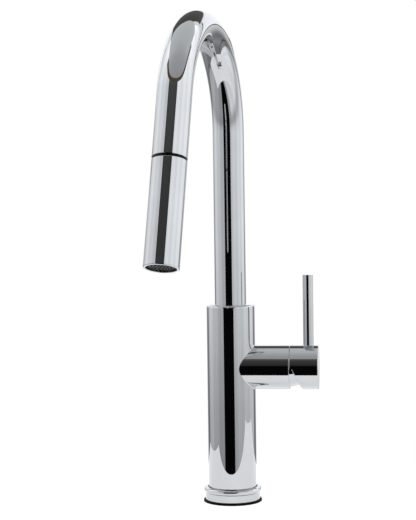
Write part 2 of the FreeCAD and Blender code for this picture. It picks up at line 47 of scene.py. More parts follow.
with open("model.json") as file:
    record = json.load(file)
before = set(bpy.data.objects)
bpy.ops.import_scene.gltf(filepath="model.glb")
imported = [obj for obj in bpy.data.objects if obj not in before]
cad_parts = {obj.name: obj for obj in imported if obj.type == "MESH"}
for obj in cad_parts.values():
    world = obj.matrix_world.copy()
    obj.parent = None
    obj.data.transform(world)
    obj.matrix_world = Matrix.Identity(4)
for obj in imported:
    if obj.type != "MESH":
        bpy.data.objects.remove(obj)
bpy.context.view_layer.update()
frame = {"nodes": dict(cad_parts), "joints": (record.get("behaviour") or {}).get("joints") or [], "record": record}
MM = 0.001
FINEST = 0.05 * MM


def cad_limits(node):
    """(low, high) corners of a CAD node, in metres."""
    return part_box(node)


def joint(name):
    """The frame's record of one joint."""
    return next(j for j in frame["joints"] if j["name"] == name)


# --- places that come from the frame ---

BODY_LOW, BODY_HIGH = cad_limits("faucet_body")
CAP_LOW, CAP_HIGH = cad_limits("handle_cap")
LEVER_LOW, LEVER_HIGH = cad_limits("lever_pin")
RING_HIGH = cad_limits("base_ring")[1]
GASKET_HIGH = cad_limits("base_gasket")[1]
TUBE_LOW, TUBE_HIGH = cad_limits("spout_tube")
HOSE_LOW, HOSE_HIGH = cad_limits("spray_hose")
COLLAR_LOW, COLLAR_HIGH = cad_limits("top_collar")
STUD_LOW, STUD_HIGH = cad_limits("mounting_stud")

PIVOT = Vector(joint("handle_lift")["pos_m"])
SEAM = Vector(joint("head_spin")["pos_m"])
SPOUT_END = Vector(joint("head_spin")["axis"]).normalized()
HUB_Z = PIVOT.z
LEVER_X = (LEVER_LOW.x + LEVER_HIGH.x) / 2
STUD_X = (STUD_LOW.x + STUD_HIGH.x) / 2
STUD_Y = (STUD_LOW.y + STUD_HIGH.y) / 2

# --- the spout's line, worked out from the seam, the end's direction and the height ---

SPOUT_OUT = Vector((SPOUT_END.x, SPOUT_END.y, 0)).normalized()
BEND = math.acos(SPOUT_END.z)
REACH = Vector((SEAM.x, SEAM.y)).length


def rounded_mm(value):
    """A size to a twentieth of a millimetre, which takes out the frame's faceting."""
    return round(value / FINEST) * FINEST


TUBE_R = rounded_mm(TUBE_HIGH.y)
HOSE_R = rounded_mm(HOSE_HIGH.x)
TOP_LINE = TUBE_HIGH.z - TUBE_R
BEND_R = rounded_mm(
    (TOP_LINE - SEAM.z + SPOUT_END.z * REACH / math.sin(BEND))
    / (1 - math.sin(BEND) + math.cos(BEND) * (1 - math.cos(BEND)) / math.sin(BEND))
)
BEND_START = TOP_LINE - BEND_R

# --- frames in which turned pieces are drawn ---


def axis_frame(origin, direction):
    """A frame at origin whose Z lies along direction."""
    turn = direction.normalized().to_track_quat("Z", "Y")
    return Matrix.Translation(origin) @ turn.to_matrix().to_4x4()


UPRIGHT = Matrix.Identity(4)
AT_SEAM = axis_frame(SEAM, -SPOUT_END)
AT_HUB = axis_frame(Vector((0, 0, HUB_Z)), Vector((1, 0, 0)))


# --- sizes and colours that a user may change ---


def colour_setting(name, description, default):
    """A colour in the sidebar."""
    return bpy.props.FloatVectorProperty(
        name=name, description=description, default=default, subtype="COLOR", size=3, min=0.0, max=1.0)


def length_setting(name, description, default, low, high):
    """A length in the sidebar, from a default and limits in millimetres."""
    return bpy.props.FloatProperty(
        name=name, description=description, default=default * MM, min=low * MM, max=high * MM,
        subtype="DISTANCE", unit="LENGTH")


class FaucetSizes(bpy.types.PropertyGroup):
    """Wall, edge and detail sizes of the finished pieces."""

    tube_wall: length_setting("Tube wall", "Thickness of the spout's tube", 1.5, 0.5, 3)
    body_wall: length_setting("Body wall", "Thickness of the body's open lower end", 2.5, 1, 4)
    edge: length_setting("Edge", "Radius of the polished edges", 0.4, 0.1, 0.8)
    shoulder: length_setting("Shoulder", "Radius of the body's top edge", 2.3, 0.5, 3.5)
    root_fillet: length_setting("Hub root", "Radius where the hub grows out of the body", 0.8, 0.3, 1.5)
    weld: length_setting("Lever root", "Radius of the joint at the lever's foot", 0.7, 0.2, 1.2)
    wedge: bpy.props.FloatProperty(
        name="Wedge", description="Slope of the cap's cut lower half", default=math.radians(24.5),
        min=0.0, max=math.radians(35), subtype="ANGLE", unit="ROTATION",
    )
    nozzle: length_setting("Nozzle", "Radius of one spray nozzle", 0.55, 0.3, 0.8)
    thread_pitch: length_setting("Thread pitch", "Pitch of the mounting stud's thread", 1.25, 0.75, 2)
    turns: bpy.props.IntProperty(
        name="Steps round", description="Faces round a turned piece", default=128, min=48, max=256,
    )


class FaucetFinishes(bpy.types.PropertyGroup):
    """Base colours of the finishes."""

    chrome: colour_setting("Chrome", "Colour of the polished chrome plate", (0.545, 0.556, 0.566))
    black_plastic: colour_setting(
        "Black plastic", "Colour of the moulded black parts", (0.004, 0.004, 0.0045))
    white_plastic: colour_setting("White plastic", "Colour of the acetal parts", (0.78, 0.78, 0.75))
    rubber: colour_setting("Rubber", "Colour of seals and the gasket", (0.0025, 0.0025, 0.003))
    silicone: colour_setting("Silicone", "Colour of the spray nozzles", (0.09, 0.09, 0.095))
    ceramic: colour_setting("Ceramic", "Colour of the valve discs", (0.86, 0.84, 0.80))
    brass: colour_setting("Brass", "Colour of the machined brass", (0.72, 0.52, 0.24))
    steel: colour_setting("Steel", "Colour of the zinc-plated steel", (0.52, 0.53, 0.54))
    braid: colour_setting("Hose braid", "Colour of the hose's nylon braid", (0.20, 0.20, 0.21))
    floor: colour_setting("Table", "Colour of the pale table top", (0.82, 0.82, 0.82))


def sizes():
    """The sizes set in the sidebar."""
    return bpy.context.scene.faucet_sizes


def finishes():
    """The colours set in the sidebar."""
    return bpy.context.scene.faucet_finishes


# --- node wiring ---

NOISE_LOW, NOISE_HIGH = 0.3, 0.7


def add_node(tree, kind, **settings):
    """Adds a node and sets its properties; a key of the form in_Name or in_0 sets an input."""
    node = tree.nodes.new(kind)
    for key, value in settings.items():
        if key.startswith("in_"):
            name = key[3:]
            socket = node.inputs[int(name)] if name.isdigit() else node.inputs[name.replace("_", " ")]
            socket.default_value = value
        else:
            setattr(node, key, value)
    return node


def wire(tree, source, target, output=0, entry=0):
    """Links one node's output to another's input."""
    tree.links.new(source.outputs[output], target.inputs[entry])


def maths(tree, operation, *values):
    """A Math node; its values are numbers or (node, output) pairs."""
    node = add_node(tree, "ShaderNodeMath", operation=operation)
    for entry, value in enumerate(values):
        if isinstance(value, tuple):
            wire(tree, value[0], node, value[1], entry)
        else:
            node.inputs[entry].default_value = value
    return (node, 0)


def ramp(tree, source, stops, interpolation="LINEAR"):
    """A colour ramp over 0 to 1 from (place, grey or colour) stops."""
    node = add_node(tree, "ShaderNodeValToRGB")
    node.color_ramp.interpolation = interpolation
    elements = node.color_ramp.elements
    while len(elements) < len(stops):
        elements.new(0.5)
    for element, (place, value) in zip(elements, stops):
        element.position = place
        colour = value if isinstance(value, tuple) else (value, value, value)
        element.color = (*colour, 1.0)
    wire(tree, source[0], node, source[1])
    return (node, 0)


def new_material(name, colour, metallic, roughness):
    """A material with a Principled surface; returns its tree and shader."""
    material = bpy.data.materials.new(name)
    material.use_nodes = True
    tree = material.node_tree
    shader = tree.nodes["Principled BSDF"]
    shader.inputs["Base Color"].default_value = (*colour, 1.0)
    shader.inputs["Metallic"].default_value = metallic
    shader.inputs["Roughness"].default_value = roughness
    material.diffuse_color = (*colour, 1.0)
    return tree, shader


def noise(tree, scale, detail=3.0, stretch=(1, 1, 1)):
    """Noise on the object's own coordinates, in features per metre."""
    place = add_node(tree, "ShaderNodeTexCoord")
    mapping = add_node(tree, "ShaderNodeMapping", in_Scale=stretch)
    texture = add_node(tree, "ShaderNodeTexNoise", in_Scale=scale, in_Detail=detail)
    wire(tree, place, mapping, "Object")
    wire(tree, mapping, texture)
    return (texture, 0)


def spread(tree, source, low, high):
    """Maps the usual range of a noise onto low to high."""
    node = add_node(tree, "ShaderNodeMapRange", in_1=NOISE_LOW, in_2=NOISE_HIGH, in_3=low, in_4=high)
    wire(tree, source[0], node, source[1])
    return (node, 0)


def strengthened(colour, strength):
    """A colour times a strength, no brighter than white."""
    return tuple(min(1.0, c * strength) for c in colour)


def tint(tree, shader, source, colour, dark, light, span=(NOISE_LOW, NOISE_HIGH)):
    """Varies a base colour between two strengths of itself."""
    stops = [(span[0], strengthened(colour, dark)), (span[1], strengthened(colour, light))]
    shade = ramp(tree, source, stops)
    wire(tree, shade[0], shader, shade[1], "Base Color")


def bump(tree, shader, source, strength, distance=0.1 * MM):
    """Adds relief from a height."""
    node = add_node(tree, "ShaderNodeBump", in_Strength=strength, in_Distance=distance)
    wire(tree, source[0], node, source[1], "Height")
    wire(tree, node, shader, 0, "Normal")


# --- finishes ---


def chrome_finish():
    """Polished plate: a mirror with the faintest haze and waviness."""
    colour = tuple(finishes().chrome)
    tree, shader = new_material("chrome_plate", colour, metallic=1.0, roughness=0.03)
    haze = spread(tree, noise(tree, 90.0, detail=4.0), low=0.012, high=0.05)
    wire(tree, haze[0], shader, 0, "Roughness")
    tint(tree, shader, noise(tree, 35.0, detail=2.0), colour, dark=0.97, light=1.03)
    bump(tree, shader, noise(tree, 260.0, detail=1.0), strength=0.012)


def plastic_finish(name, colour, roughness, gloss_level):
    """Moulded plastic with a satin grain."""
    tree, shader = new_material(name, colour, metallic=0.0, roughness=roughness)
    shader.inputs["Specular IOR Level"].default_value = gloss_level
    gloss = spread(tree, noise(tree, 160.0), low=roughness - 0.07, high=roughness + 0.07)
    wire(tree, gloss[0], shader, 0, "Roughness")
    tint(tree, shader, noise(tree, 120.0, detail=2.0), colour, dark=0.88, light=1.10)
    bump(tree, shader, noise(tree, 2600.0), strength=0.12)


def rubber_finish(name, colour):
    """Dull rubber with a fine dusty bloom."""
    tree, shader = new_material(name, colour, metallic=0.0, roughness=0.6)
    shader.inputs["Specular IOR Level"].default_value = 0.05
    gloss = spread(tree, noise(tree, 300.0, detail=4.0), low=0.48, high=0.72)
    wire(tree, gloss[0], shader, 0, "Roughness")
    tint(tree, shader, noise(tree, 700.0, detail=4.0), colour, dark=0.75, light=1.45)
    bump(tree, shader, noise(tree, 3500.0, detail=2.0), strength=0.2)


def ceramic_finish():
    """Lapped alumina, nearly white, with a fine speckle."""
    colour = tuple(finishes().ceramic)
    tree, shader = new_material("lapped_ceramic", colour, metallic=0.0, roughness=0.18)
    tint(tree, shader, noise(tree, 900.0), colour, dark=0.93, light=1.05)
    bump(tree, shader, noise(tree, 5000.0, detail=2.0), strength=0.04)


def turned_metal_finish(name, colour, roughness, grooves):
    """Machined metal with tool marks along the piece's height."""
    tree, shader = new_material(name, colour, metallic=1.0, roughness=roughness)
    marks = noise(tree, grooves, detail=2.0, stretch=(0.02, 0.02, 1.0))
    gloss = spread(tree, marks, low=roughness - 0.08, high=roughness + 0.12)
    wire(tree, gloss[0], shader, 0, "Roughness")
    tint(tree, shader, noise(tree, 140.0, detail=4.0), colour, dark=0.85, light=1.1)
    bump(tree, shader, marks, strength=0.15)


def braid_finish(name, along, radius):
    """Braided nylon: two sets of strands that wind opposite ways round the line called along."""
    colour = tuple(finishes().braid)
    tree, shader = new_material(name, colour, metallic=0.0, roughness=0.55)
    place = add_node(tree, "ShaderNodeTexCoord")
    back = along.inverted()
    mapping = add_node(
        tree, "ShaderNodeMapping", vector_type="POINT",
        in_Rotation=back.to_euler(), in_Location=back.to_translation())
    split = add_node(tree, "ShaderNodeSeparateXYZ")
    wire(tree, place, mapping, "Object")
    wire(tree, mapping, split)
    angle = maths(tree, "ARCTAN2", (split, 1), (split, 0))
    climb = maths(tree, "MULTIPLY", (split, 2), 1.0 / radius)
    strands = 12
    waves = []
    for way in (1, -1):
        lean = maths(tree, "MULTIPLY", climb, way)
        phase = maths(tree, "MULTIPLY", maths(tree, "ADD", angle, lean), strands)
        waves.append(maths(tree, "SINE", phase))
    both = maths(tree, "MULTIPLY", waves[0], waves[1])
    height = maths(tree, "MULTIPLY_ADD", both, 0.5, 0.5)
    # The base colour follows the strands' height: painted shade in the low places between the strands and a
    # painted highlight on their crests.
    tint(tree, shader, height, colour, dark=0.35, light=1.5, span=(0.0, 1.0))
    bump(tree, shader, height, strength=0.7, distance=0.4 * MM)


def make_finishes():
    """Makes every finish under the name by which its slot finds it."""
    chosen = finishes()
    chrome_finish()
    plastic_finish("black_moulding", tuple(chosen.black_plastic), roughness=0.34, gloss_level=0.1)
    plastic_finish("acetal_moulding", tuple(chosen.white_plastic), roughness=0.42, gloss_level=0.5)
    rubber_finish("seal_rubber", tuple(chosen.rubber))
    rubber_finish("nozzle_silicone", tuple(chosen.silicone))
    ceramic_finish()
    turned_metal_finish("machined_brass", tuple(chosen.brass), roughness=0.28, grooves=2400.0)
    turned_metal_finish("plated_steel", tuple(chosen.steel), roughness=0.34, grooves=1800.0)
    braid_finish("hose_braid", AT_SEAM, HOSE_R)


def finish(slot):
    """The material made for a slot."""
    return bpy.data.materials[SLOT_MATERIALS[slot]]


SLOT_MATERIALS = {
    "chrome": "chrome_plate",
    "black_plastic": "black_moulding",
    "white_plastic": "acetal_moulding",
    "rubber": "seal_rubber",
    "silicone": "nozzle_silicone",
    "ceramic": "lapped_ceramic",
    "brass": "machined_brass",
    "steel": "plated_steel",
    "hose_braid": "hose_braid",
}
UPRIGHT_BRAID = "hose_braid_upright"


# --- meshes with exact surface normals ---

# Corners that agree to this many decimals of a metre are one; shorter runs and smaller turns don't count.
MERGE_DIGITS = 7
SHORTEST = 1e-7
SMALLEST_TURN = 1e-6


def new_object(name, data):
    """A new object in the scene with this data."""
    made = bpy.data.objects.new(name, data)
    bpy.context.scene.collection.objects.link(made)
    return made


class Skin:
    """Collects quads whose corners carry their own normals, and merges corners at the same place."""

    def __init__(self):
        self.points = []
        self.index = {}
        self.faces = []
        self.normals = []

    def corner(self, point):
        """The number of the vertex at this place."""
        key = tuple(round(c, MERGE_DIGITS) for c in point)
        if key not in self.index:
            self.index[key] = len(self.points)
            self.points.append(Vector(key))
        return self.index[key]

    def face(self, corners):
        """Adds one face from (point, normal) corners; corners that fall together count once."""
        numbers = []
        normals = []
        for point, normal in corners:
            number = self.corner(point)
            if number not in numbers:
                numbers.append(number)
                normals.append(normal)
        if len(numbers) > 2:
            self.faces.append(numbers)
            self.normals.extend(normals)

    def sheet(self, rows, closed=True):
        """Adds the quads between successive rows of (point, normal); rows run round the surface."""
        for low, high in zip(rows, rows[1:]):
            count = len(low)
            for step in range(count if closed else count - 1):
                following = (step + 1) % count
                self.face((low[step], low[following], high[following], high[step]))

    def turned(self, place, stretches, angles):
        """Adds what an outline's stretches sweep round a frame's Z axis."""
        for stretch in stretches:
            self.sheet([ring_row(place, point, angles) for point in stretch])

    def object(self, name):
        """A new object with this surface."""
        mesh = bpy.data.meshes.new(name)
        mesh.from_pydata(self.points, [], self.faces)
        mesh.shade_smooth()
        mesh.normals_split_custom_set([n.normalized() for n in self.normals])
        mesh.validate()
        return new_object(name, mesh)


def straight(start, end):
    """A straight stretch of an outline, as (radius, height, normal) points."""
    along = (Vector(end) - Vector(start)).normalized()
    normal = (along.y, -along.x)
    return [(*start, *normal), (*end, *normal)]


def arc(centre, radius, start, end, steps=10, hollow=False):
    """A round stretch of an outline between two angles in degrees; hollow turns its normals inwards."""
    made = []
    for step in range(steps + 1):
        angle = math.radians(start + (end - start) * step / steps)
        x, y = math.cos(angle), math.sin(angle)
        side = -1 if hollow else 1
        made.append((centre[0] + radius * x, centre[1] + radius * y, side * x, side * y))
    return made


def rounded(corners, steps=6):
    """The stretches of a closed outline from (radius, height, fillet) corners, outside to the right."""
    count = len(corners)
    stretches = []
    ends = []
    for number, (x, y, fillet) in enumerate(corners):
        here = Vector((x, y))
        before = Vector(corners[number - 1][:2])
        after = Vector(corners[(number + 1) % count][:2])
        into = (here - before).normalized()
        out = (after - here).normalized()
        turn = math.atan2(into.x * out.y - into.y * out.x, into.dot(out))
        if fillet == 0 or abs(turn) < SMALLEST_TURN:
            ends.append((here, here, None))
            continue
        cut = fillet * math.tan(abs(turn) / 2)
        side = 1 if turn > 0 else -1
        start = here - into * cut
        centre = start + Vector((-into.y, into.x)) * fillet * side
        first = math.degrees(math.atan2(start.y - centre.y, start.x - centre.x))
        sweep = arc(centre, fillet, first, first + math.degrees(turn), steps, turn < 0)
        ends.append((start, here + out * cut, sweep))
    for number, (_, leave, sweep) in enumerate(ends):
        if sweep:
            stretches.append(sweep)
        arrive = ends[(number + 1) % count][0]
        if (arrive - leave).length > SHORTEST:
            stretches.append(straight(tuple(leave), tuple(arrive)))
    return stretches


def rounded_in_mm(corners):
    """The same from corners in millimetres."""
    return rounded([tuple(value * MM for value in corner) for corner in corners])


def across_x(angle):
    """The unit direction at this angle round the X axis."""
    return Vector((0, math.cos(angle), math.sin(angle)))


def ring_row(place, point, angles):
    """One ring of (point, normal) round a frame's Z axis."""
    radius, height, out, up = point
    turn = place.to_3x3()
    row = []
    for angle in angles:
        c, s = math.cos(angle), math.sin(angle)
        spot = place @ Vector((radius * c, radius * s, height))
        row.append((spot, turn @ Vector((out * c, out * s, up))))
    return row


def full_turn(count):
    """Equal angles round a circle."""
    return [2 * math.pi * step / count for step in range(count)]


def lathe(name, place, stretches):
    """A turned piece from its outline's stretches."""
    skin = Skin()
    skin.turned(place, stretches, full_turn(sizes().turns))
    return skin.object(name)


def dress(made, body, slot, *replaced):
    """Gives a finished object the material for its slot and its body, and hides the CAD nodes it stands for."""
    if not made.data.materials:
        made.data.materials.append(finish(slot))
    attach(made, body)
    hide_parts(*replaced)


# --- base and body ---


def make_base():
    """The black gasket and the chrome ring with its bead."""
    hole = 17.5 * MM
    foot_round, lip_round = 0.15 * MM, 0.7 * MM
    outer, top = rounded_mm(GASKET_HIGH.x), GASKET_HIGH.z
    gasket = lathe("gasket", UPRIGHT, rounded([
        (hole, 0, 0), (outer, 0, foot_round), (outer, top, lip_round), (hole, top, 0)]))
    dress(gasket, "body", "rubber", "base_gasket")
    bead, cove, break_edge = 2.7 * MM, 0.9 * MM, 0.3 * MM
    bead_x, bead_z = rounded_mm(RING_HIGH.x) - bead, RING_HIGH.z - bead
    band = bead_x + 1.4 * MM
    socket = bead_x - 1.1 * MM
    floor = top + 2 * MM
    inside = 180 - math.degrees(math.acos((bead_x - socket) / bead))
    high = bead_z + bead * math.sin(math.radians(inside))
    cove_x = band + cove
    cove_z = bead_z - math.sqrt((bead + cove) ** 2 - (cove_x - bead_x) ** 2)
    meet = math.degrees(math.atan2(cove_z - bead_z, cove_x - bead_x))
    ring = lathe("chrome_base_ring", UPRIGHT, [
        straight((band, top + break_edge), (band, cove_z)),
        arc((cove_x, cove_z), cove, 180, 180 + meet, steps=8, hollow=True),
        arc((bead_x, bead_z), bead, meet, inside, steps=28),
        straight((socket, high), (socket, floor)),
        straight((socket, floor), (hole, floor)),
        straight((hole, floor), (hole, top)),
        straight((hole, top), (band - break_edge, top)),
        arc((band - break_edge, top + break_edge), break_edge, -90, 0, steps=5),
    ])
    dress(ring, "body", "chrome", "base_ring")


def saddle_rows(main, branch, fillet, angles, steps=8):
    """The fillet where a branch along X leaves a main cylinder about Z, from the main to the branch."""
    rows = [[] for _ in range(steps + 1)]
    for angle in angles:
        y, z = math.cos(angle), math.sin(angle)
        centre = Vector((0, (branch + fillet) * y, (branch + fillet) * z))
        centre.x = math.sqrt((main + fillet) ** 2 - centre.y**2)
        first = Vector((centre.x, centre.y, 0)) / (main + fillet)
        last = Vector((0, y, z))
        for step, row in enumerate(rows):
            normal = first.slerp(last, step / steps)
            row.append((centre - normal * fillet, normal))
    return rows


def rectangle_edge(half_width, half_height, per_side):
    """Places round a rectangle's edge, in equal steps along each side, as (across, up)."""
    places = []
    corners = [(1, -1), (1, 1), (-1, 1), (-1, -1)]
    for number, start in enumerate(corners):
        end = corners[(number + 1) % len(corners)]
        for step in range(per_side):
            share = step / per_side
            across = start[0] + (end[0] - start[0]) * share
            up = start[1] + (end[1] - start[1]) * share
            places.append((across * half_width, up * half_height))
    return places


def add_hub(skin, root, angles, hub):
    """The hub beyond its root, its mouth and the pocket for the cartridge."""
    lift = Vector((0, 0, HUB_Z))
    end = rounded_mm(BODY_HIGH.x)
    break_edge = 0.4 * MM
    bore, pocket = 17.0 * MM, 14.1 * MM
    bore_end, seat = 38.0 * MM, 30.0 * MM

    def hub_ring(point):
        """One ring of (point, normal) round the hub's axis."""
        out_r, x, out, along = point
        row = []
        for angle in angles:
            y, z = math.cos(angle), math.sin(angle)
            row.append((Vector((x, out_r * y, HUB_Z + out_r * z)), Vector((along, out * y, out * z))))
        return row

    skin.sheet([[(point + lift, normal) for point, normal in row] for row in root])
    leaving = [(point + lift, normal) for point, normal in root[-1]]
    skin.sheet([leaving, hub_ring((hub, end - break_edge, 1, 0))])
    for stretch in (
        arc((hub - break_edge, end - break_edge), break_edge, 0, 90, steps=5),
        straight((hub - break_edge, end), (bore, end)),
        straight((bore, end), (bore, bore_end)),
        straight((bore, bore_end), (pocket, bore_end)),
        straight((pocket, bore_end), (pocket, seat)),
        straight((pocket, seat), (0, seat)),
    ):
        skin.sheet([hub_ring(point) for point in stretch])


def upright_outline(radius, low, high):
    """The body's outline above and below the hub: shoulder, swivel's bore, hose's way and open foot."""
    foot, top = BODY_LOW.z, BODY_HIGH.z
    shoulder = sizes().shoulder
    inner = radius - sizes().body_wall
    clearance, under_tube = 0.05 * MM, 0.1 * MM
    swivel = rounded_mm(COLLAR_HIGH.x) + clearance
    swivel_floor = TUBE_LOW.z - under_tube
    solid_bottom = 98.0 * MM
    hose_way = 6.3 * MM
    break_edge = 0.3 * MM
    return [
        straight((radius, high), (radius, top - shoulder)),
        arc((radius - shoulder, top - shoulder), shoulder, 0, 90, steps=14),
        straight((radius - shoulder, top), (swivel + break_edge, top)),
        arc((swivel + break_edge, top - break_edge), break_edge, 90, 180, steps=5),
        straight((swivel, top - break_edge), (swivel, swivel_floor)),
        straight((swivel, swivel_floor), (hose_way, swivel_floor)),
        straight((hose_way, swivel_floor), (hose_way, solid_bottom)),
        straight((hose_way, solid_bottom), (inner, solid_bottom)),
        straight((inner, solid_bottom), (inner, foot)),
        straight((inner, foot), (radius - break_edge, foot)),
        arc((radius - break_edge, foot + break_edge), break_edge, -90, 0, steps=5),
        straight((radius, foot + break_edge), (radius, low)),
    ]


def make_body():
    """The chrome casting, with a fillet where its hub leaves the upright."""
    radius = rounded_mm(BODY_HIGH.y)
    hub = rounded_mm(CAP_HIGH.y)
    quarter = math.pi / 2
    per_side, half_height = 40, 30 * MM
    patch_steps, crowding = 14, 0.8
    edge = rectangle_edge(quarter, half_height, per_side)
    angles = [math.atan2(up / half_height, across / quarter) for across, up in edge]
    root = saddle_rows(radius, hub, sizes().root_fillet, angles)
    skin = Skin()

    def wall(turn, height):
        """A place on the upright and its normal."""
        normal = Vector((math.cos(turn), math.sin(turn), 0))
        return (normal * radius + Vector((0, 0, height)), normal)

    patch = []
    for step in range(patch_steps + 1):
        share = (step / patch_steps) ** crowding
        row = []
        for (across, up), (point, _) in zip(edge, root[0]):
            turn = math.atan2(point.y, point.x)
            row.append(wall(across + (turn - across) * share, HUB_Z + up + (point.z - up) * share))
        patch.append(row)
    skin.sheet(patch)
    add_hub(skin, root, angles, hub)

    front = [-quarter + math.pi * step / per_side for step in range(per_side)]
    back = [quarter + math.pi * step / per_side for step in range(per_side)]
    low, high = HUB_Z - half_height, HUB_Z + half_height
    levels = [low + 2 * half_height * step / per_side for step in range(per_side + 1)]
    behind = back + [back[-1] + math.pi / per_side]
    skin.sheet([[wall(turn, level) for turn in behind] for level in levels], closed=False)
    skin.turned(UPRIGHT, upright_outline(radius, low, high), front + back)
    body = skin.object("chrome_body")
    dress(body, "body", "chrome", "faucet_body")


def make_collar():
    """The flush chrome ring round the riser."""
    inner, outer = 14.2 * MM, rounded_mm(COLLAR_HIGH.x)
    low, high = COLLAR_LOW.z, COLLAR_HIGH.z
    outer_round = 0.25 * MM
    collar = lathe("chrome_collar", UPRIGHT, rounded([
        (inner, low, 0), (outer, low, 0), (outer, high, outer_round), (inner, high, sizes().edge)]))
    dress(collar, "body", "chrome", "top_collar")


# --- Geometry Nodes ---


def path_curve(name, points):
    """A curve object with straight runs between these points."""
    curve = bpy.data.curves.new(name, "CURVE")
    curve.dimensions = "3D"
    spline = curve.splines.new("POLY")
    spline.points.add(len(points) - 1)
    for spot, point in zip(spline.points, points):
        spot.co = (*point, 1.0)
    return new_object(name, curve)


def new_tree(name, inputs):
    """A Geometry Nodes tree with a geometry in and out and the named inputs."""
    tree = bpy.data.node_groups.new(name, "GeometryNodeTree")
    tree.interface.new_socket("Geometry", in_out="INPUT", socket_type="NodeSocketGeometry")
    for label, kind in inputs:
        tree.interface.new_socket(label, in_out="INPUT", socket_type="NodeSocket" + kind)
    tree.interface.new_socket("Geometry", in_out="OUTPUT", socket_type="NodeSocketGeometry")
    return tree, tree.nodes.new("NodeGroupInput"), tree.nodes.new("NodeGroupOutput")


def close_tree(tree, source, entry, leave):
    """Ends a tree in Realize Instances and Set Material."""
    realize = tree.nodes.new("GeometryNodeRealizeInstances")
    paint = tree.nodes.new("GeometryNodeSetMaterial")
    wire(tree, source, realize)
    wire(tree, realize, paint)
    wire(tree, entry, paint, "Material", "Material")
    wire(tree, paint, leave)


def evaluated_mesh(made):
    """The mesh that an object's modifiers make of it."""
    bpy.context.view_layer.update()
    evaluated = made.evaluated_get(bpy.context.evaluated_depsgraph_get())
    return bpy.data.meshes.new_from_object(evaluated)


def grown(source, tree, values, name):
    """Runs a tree on an object and returns the result as a plain mesh object; the source is removed."""
    modifier = source.modifiers.new(tree.name, "NODES")
    modifier.node_group = tree
    for item in tree.interface.items_tree:
        if item.in_out == "INPUT" and item.name in values:
            modifier[item.identifier] = values[item.name]
    mesh = evaluated_mesh(source)
    mesh.name = name
    bpy.data.objects.remove(source)
    return new_object(name, mesh)


def sweep_tree():
    """Sweeps a circle along the input curve."""
    tree, entry, leave = new_tree("sweep", [
        ("Radius", "Float"), ("Sides", "Int"), ("Fill Ends", "Bool"), ("Material", "Material")])
    circle = tree.nodes.new("GeometryNodeCurvePrimitiveCircle")
    tube = tree.nodes.new("GeometryNodeCurveToMesh")
    smooth = tree.nodes.new("GeometryNodeSetShadeSmooth")
    wire(tree, entry, circle, "Sides", "Resolution")
    wire(tree, entry, circle, "Radius", "Radius")
    wire(tree, entry, tube, "Geometry", "Curve")
    wire(tree, circle, tube, "Curve", "Profile Curve")
    wire(tree, entry, tube, "Fill Ends", "Fill Caps")
    wire(tree, tube, smooth)
    close_tree(tree, smooth, entry, leave)
    return tree


def sweep(name, points, radius, sides, slot, fill=False):
    """A round rod along a path, grown by the sweep tree."""
    tree = bpy.data.node_groups.get("sweep") or sweep_tree()
    values = {"Radius": radius, "Sides": sides, "Fill Ends": fill, "Material": finish(slot)}
    return grown(path_curve(name + "_path", points), tree, values, name)


# --- spout and spray head ---

# In millimetres along the head from the seam.
FACE = -84.55
HEAD_END = -86.0


def spout_points(bottom, stop_above_seam, step):
    """Points on the riser's line, closer together round the bend, to a stop above the seam."""
    points = [Vector((0, 0, bottom))]
    bends = math.ceil(BEND / step)
    for number in range(bends + 1):
        angle = BEND * number / bends
        out = SPOUT_OUT * (BEND_R * (1 - math.cos(angle)))
        points.append(out + Vector((0, 0, BEND_START + BEND_R * math.sin(angle))))
    points.append(SEAM - SPOUT_END * stop_above_seam)
    return points


def make_spout():
    """The gooseneck: one bent chrome tube, open at both ends."""
    stop = 1.1 * MM
    bend_step = math.radians(1.5)
    points = spout_points(TUBE_LOW.z, stop, bend_step)
    tube = sweep("chrome_spout", points, TUBE_R, sizes().turns, "chrome")
    wall = tube.modifiers.new("wall", "SOLIDIFY")
    wall.thickness = sizes().tube_wall
    wall.offset = -1.0
    edges = tube.modifiers.new("edges", "BEVEL")
    edges.width = sizes().edge
    edges.segments = 4
    edges.limit_method = "ANGLE"
    edges.angle_limit = math.radians(60)
    edges.harden_normals = True
    mesh = evaluated_mesh(tube)
    tube.modifiers.clear()
    tube.data = mesh
    dress(tube, "spout", "chrome", "spout_tube")


def make_dock():
    """The black guide in the spout's mouth; its flange shows at the seam."""
    dock = lathe("dock_guide", AT_SEAM, rounded_in_mm([
        (10.8, -0.9, 0.2), (13.7, -0.9, 0.15), (13.7, 1.1, 0.15), (12.45, 1.1, 0), (12.45, 26.0, 0.2),
        (9.9, 26.0, 0.2), (9.3, 24.5, 0.5), (9.3, 6.0, 1.0)]))
    dress(dock, "spout", "black_plastic", "dock_bush")


def make_head():
    """The spray head's chrome shell and its dark face."""
    top, neck, inside_end = -1.0, -2.6, -84.6
    shell = lathe("chrome_head", AT_SEAM, rounded_in_mm([
        (9.7, neck, 0), (12.7, neck, 0), (12.7, inside_end, 0), (12.0, inside_end, 0), (12.0, HEAD_END, 0.3),
        (14.0, HEAD_END, 0.9), (14.0, top, sizes().edge / MM), (9.7, top, 0.2)]))
    dress(shell, "head", "chrome", "head_shell")
    step, back = -84.25, -82.2
    plate = lathe("spray_face", AT_SEAM, rounded_in_mm([
        (0, FACE, 0), (11.2, FACE, 0.2), (11.4, step, 0.1), (12.6, step, 0.1), (12.6, back, 0),
        (0, back, 0)]))
    dress(plate, "head", "black_plastic", "face_plate")


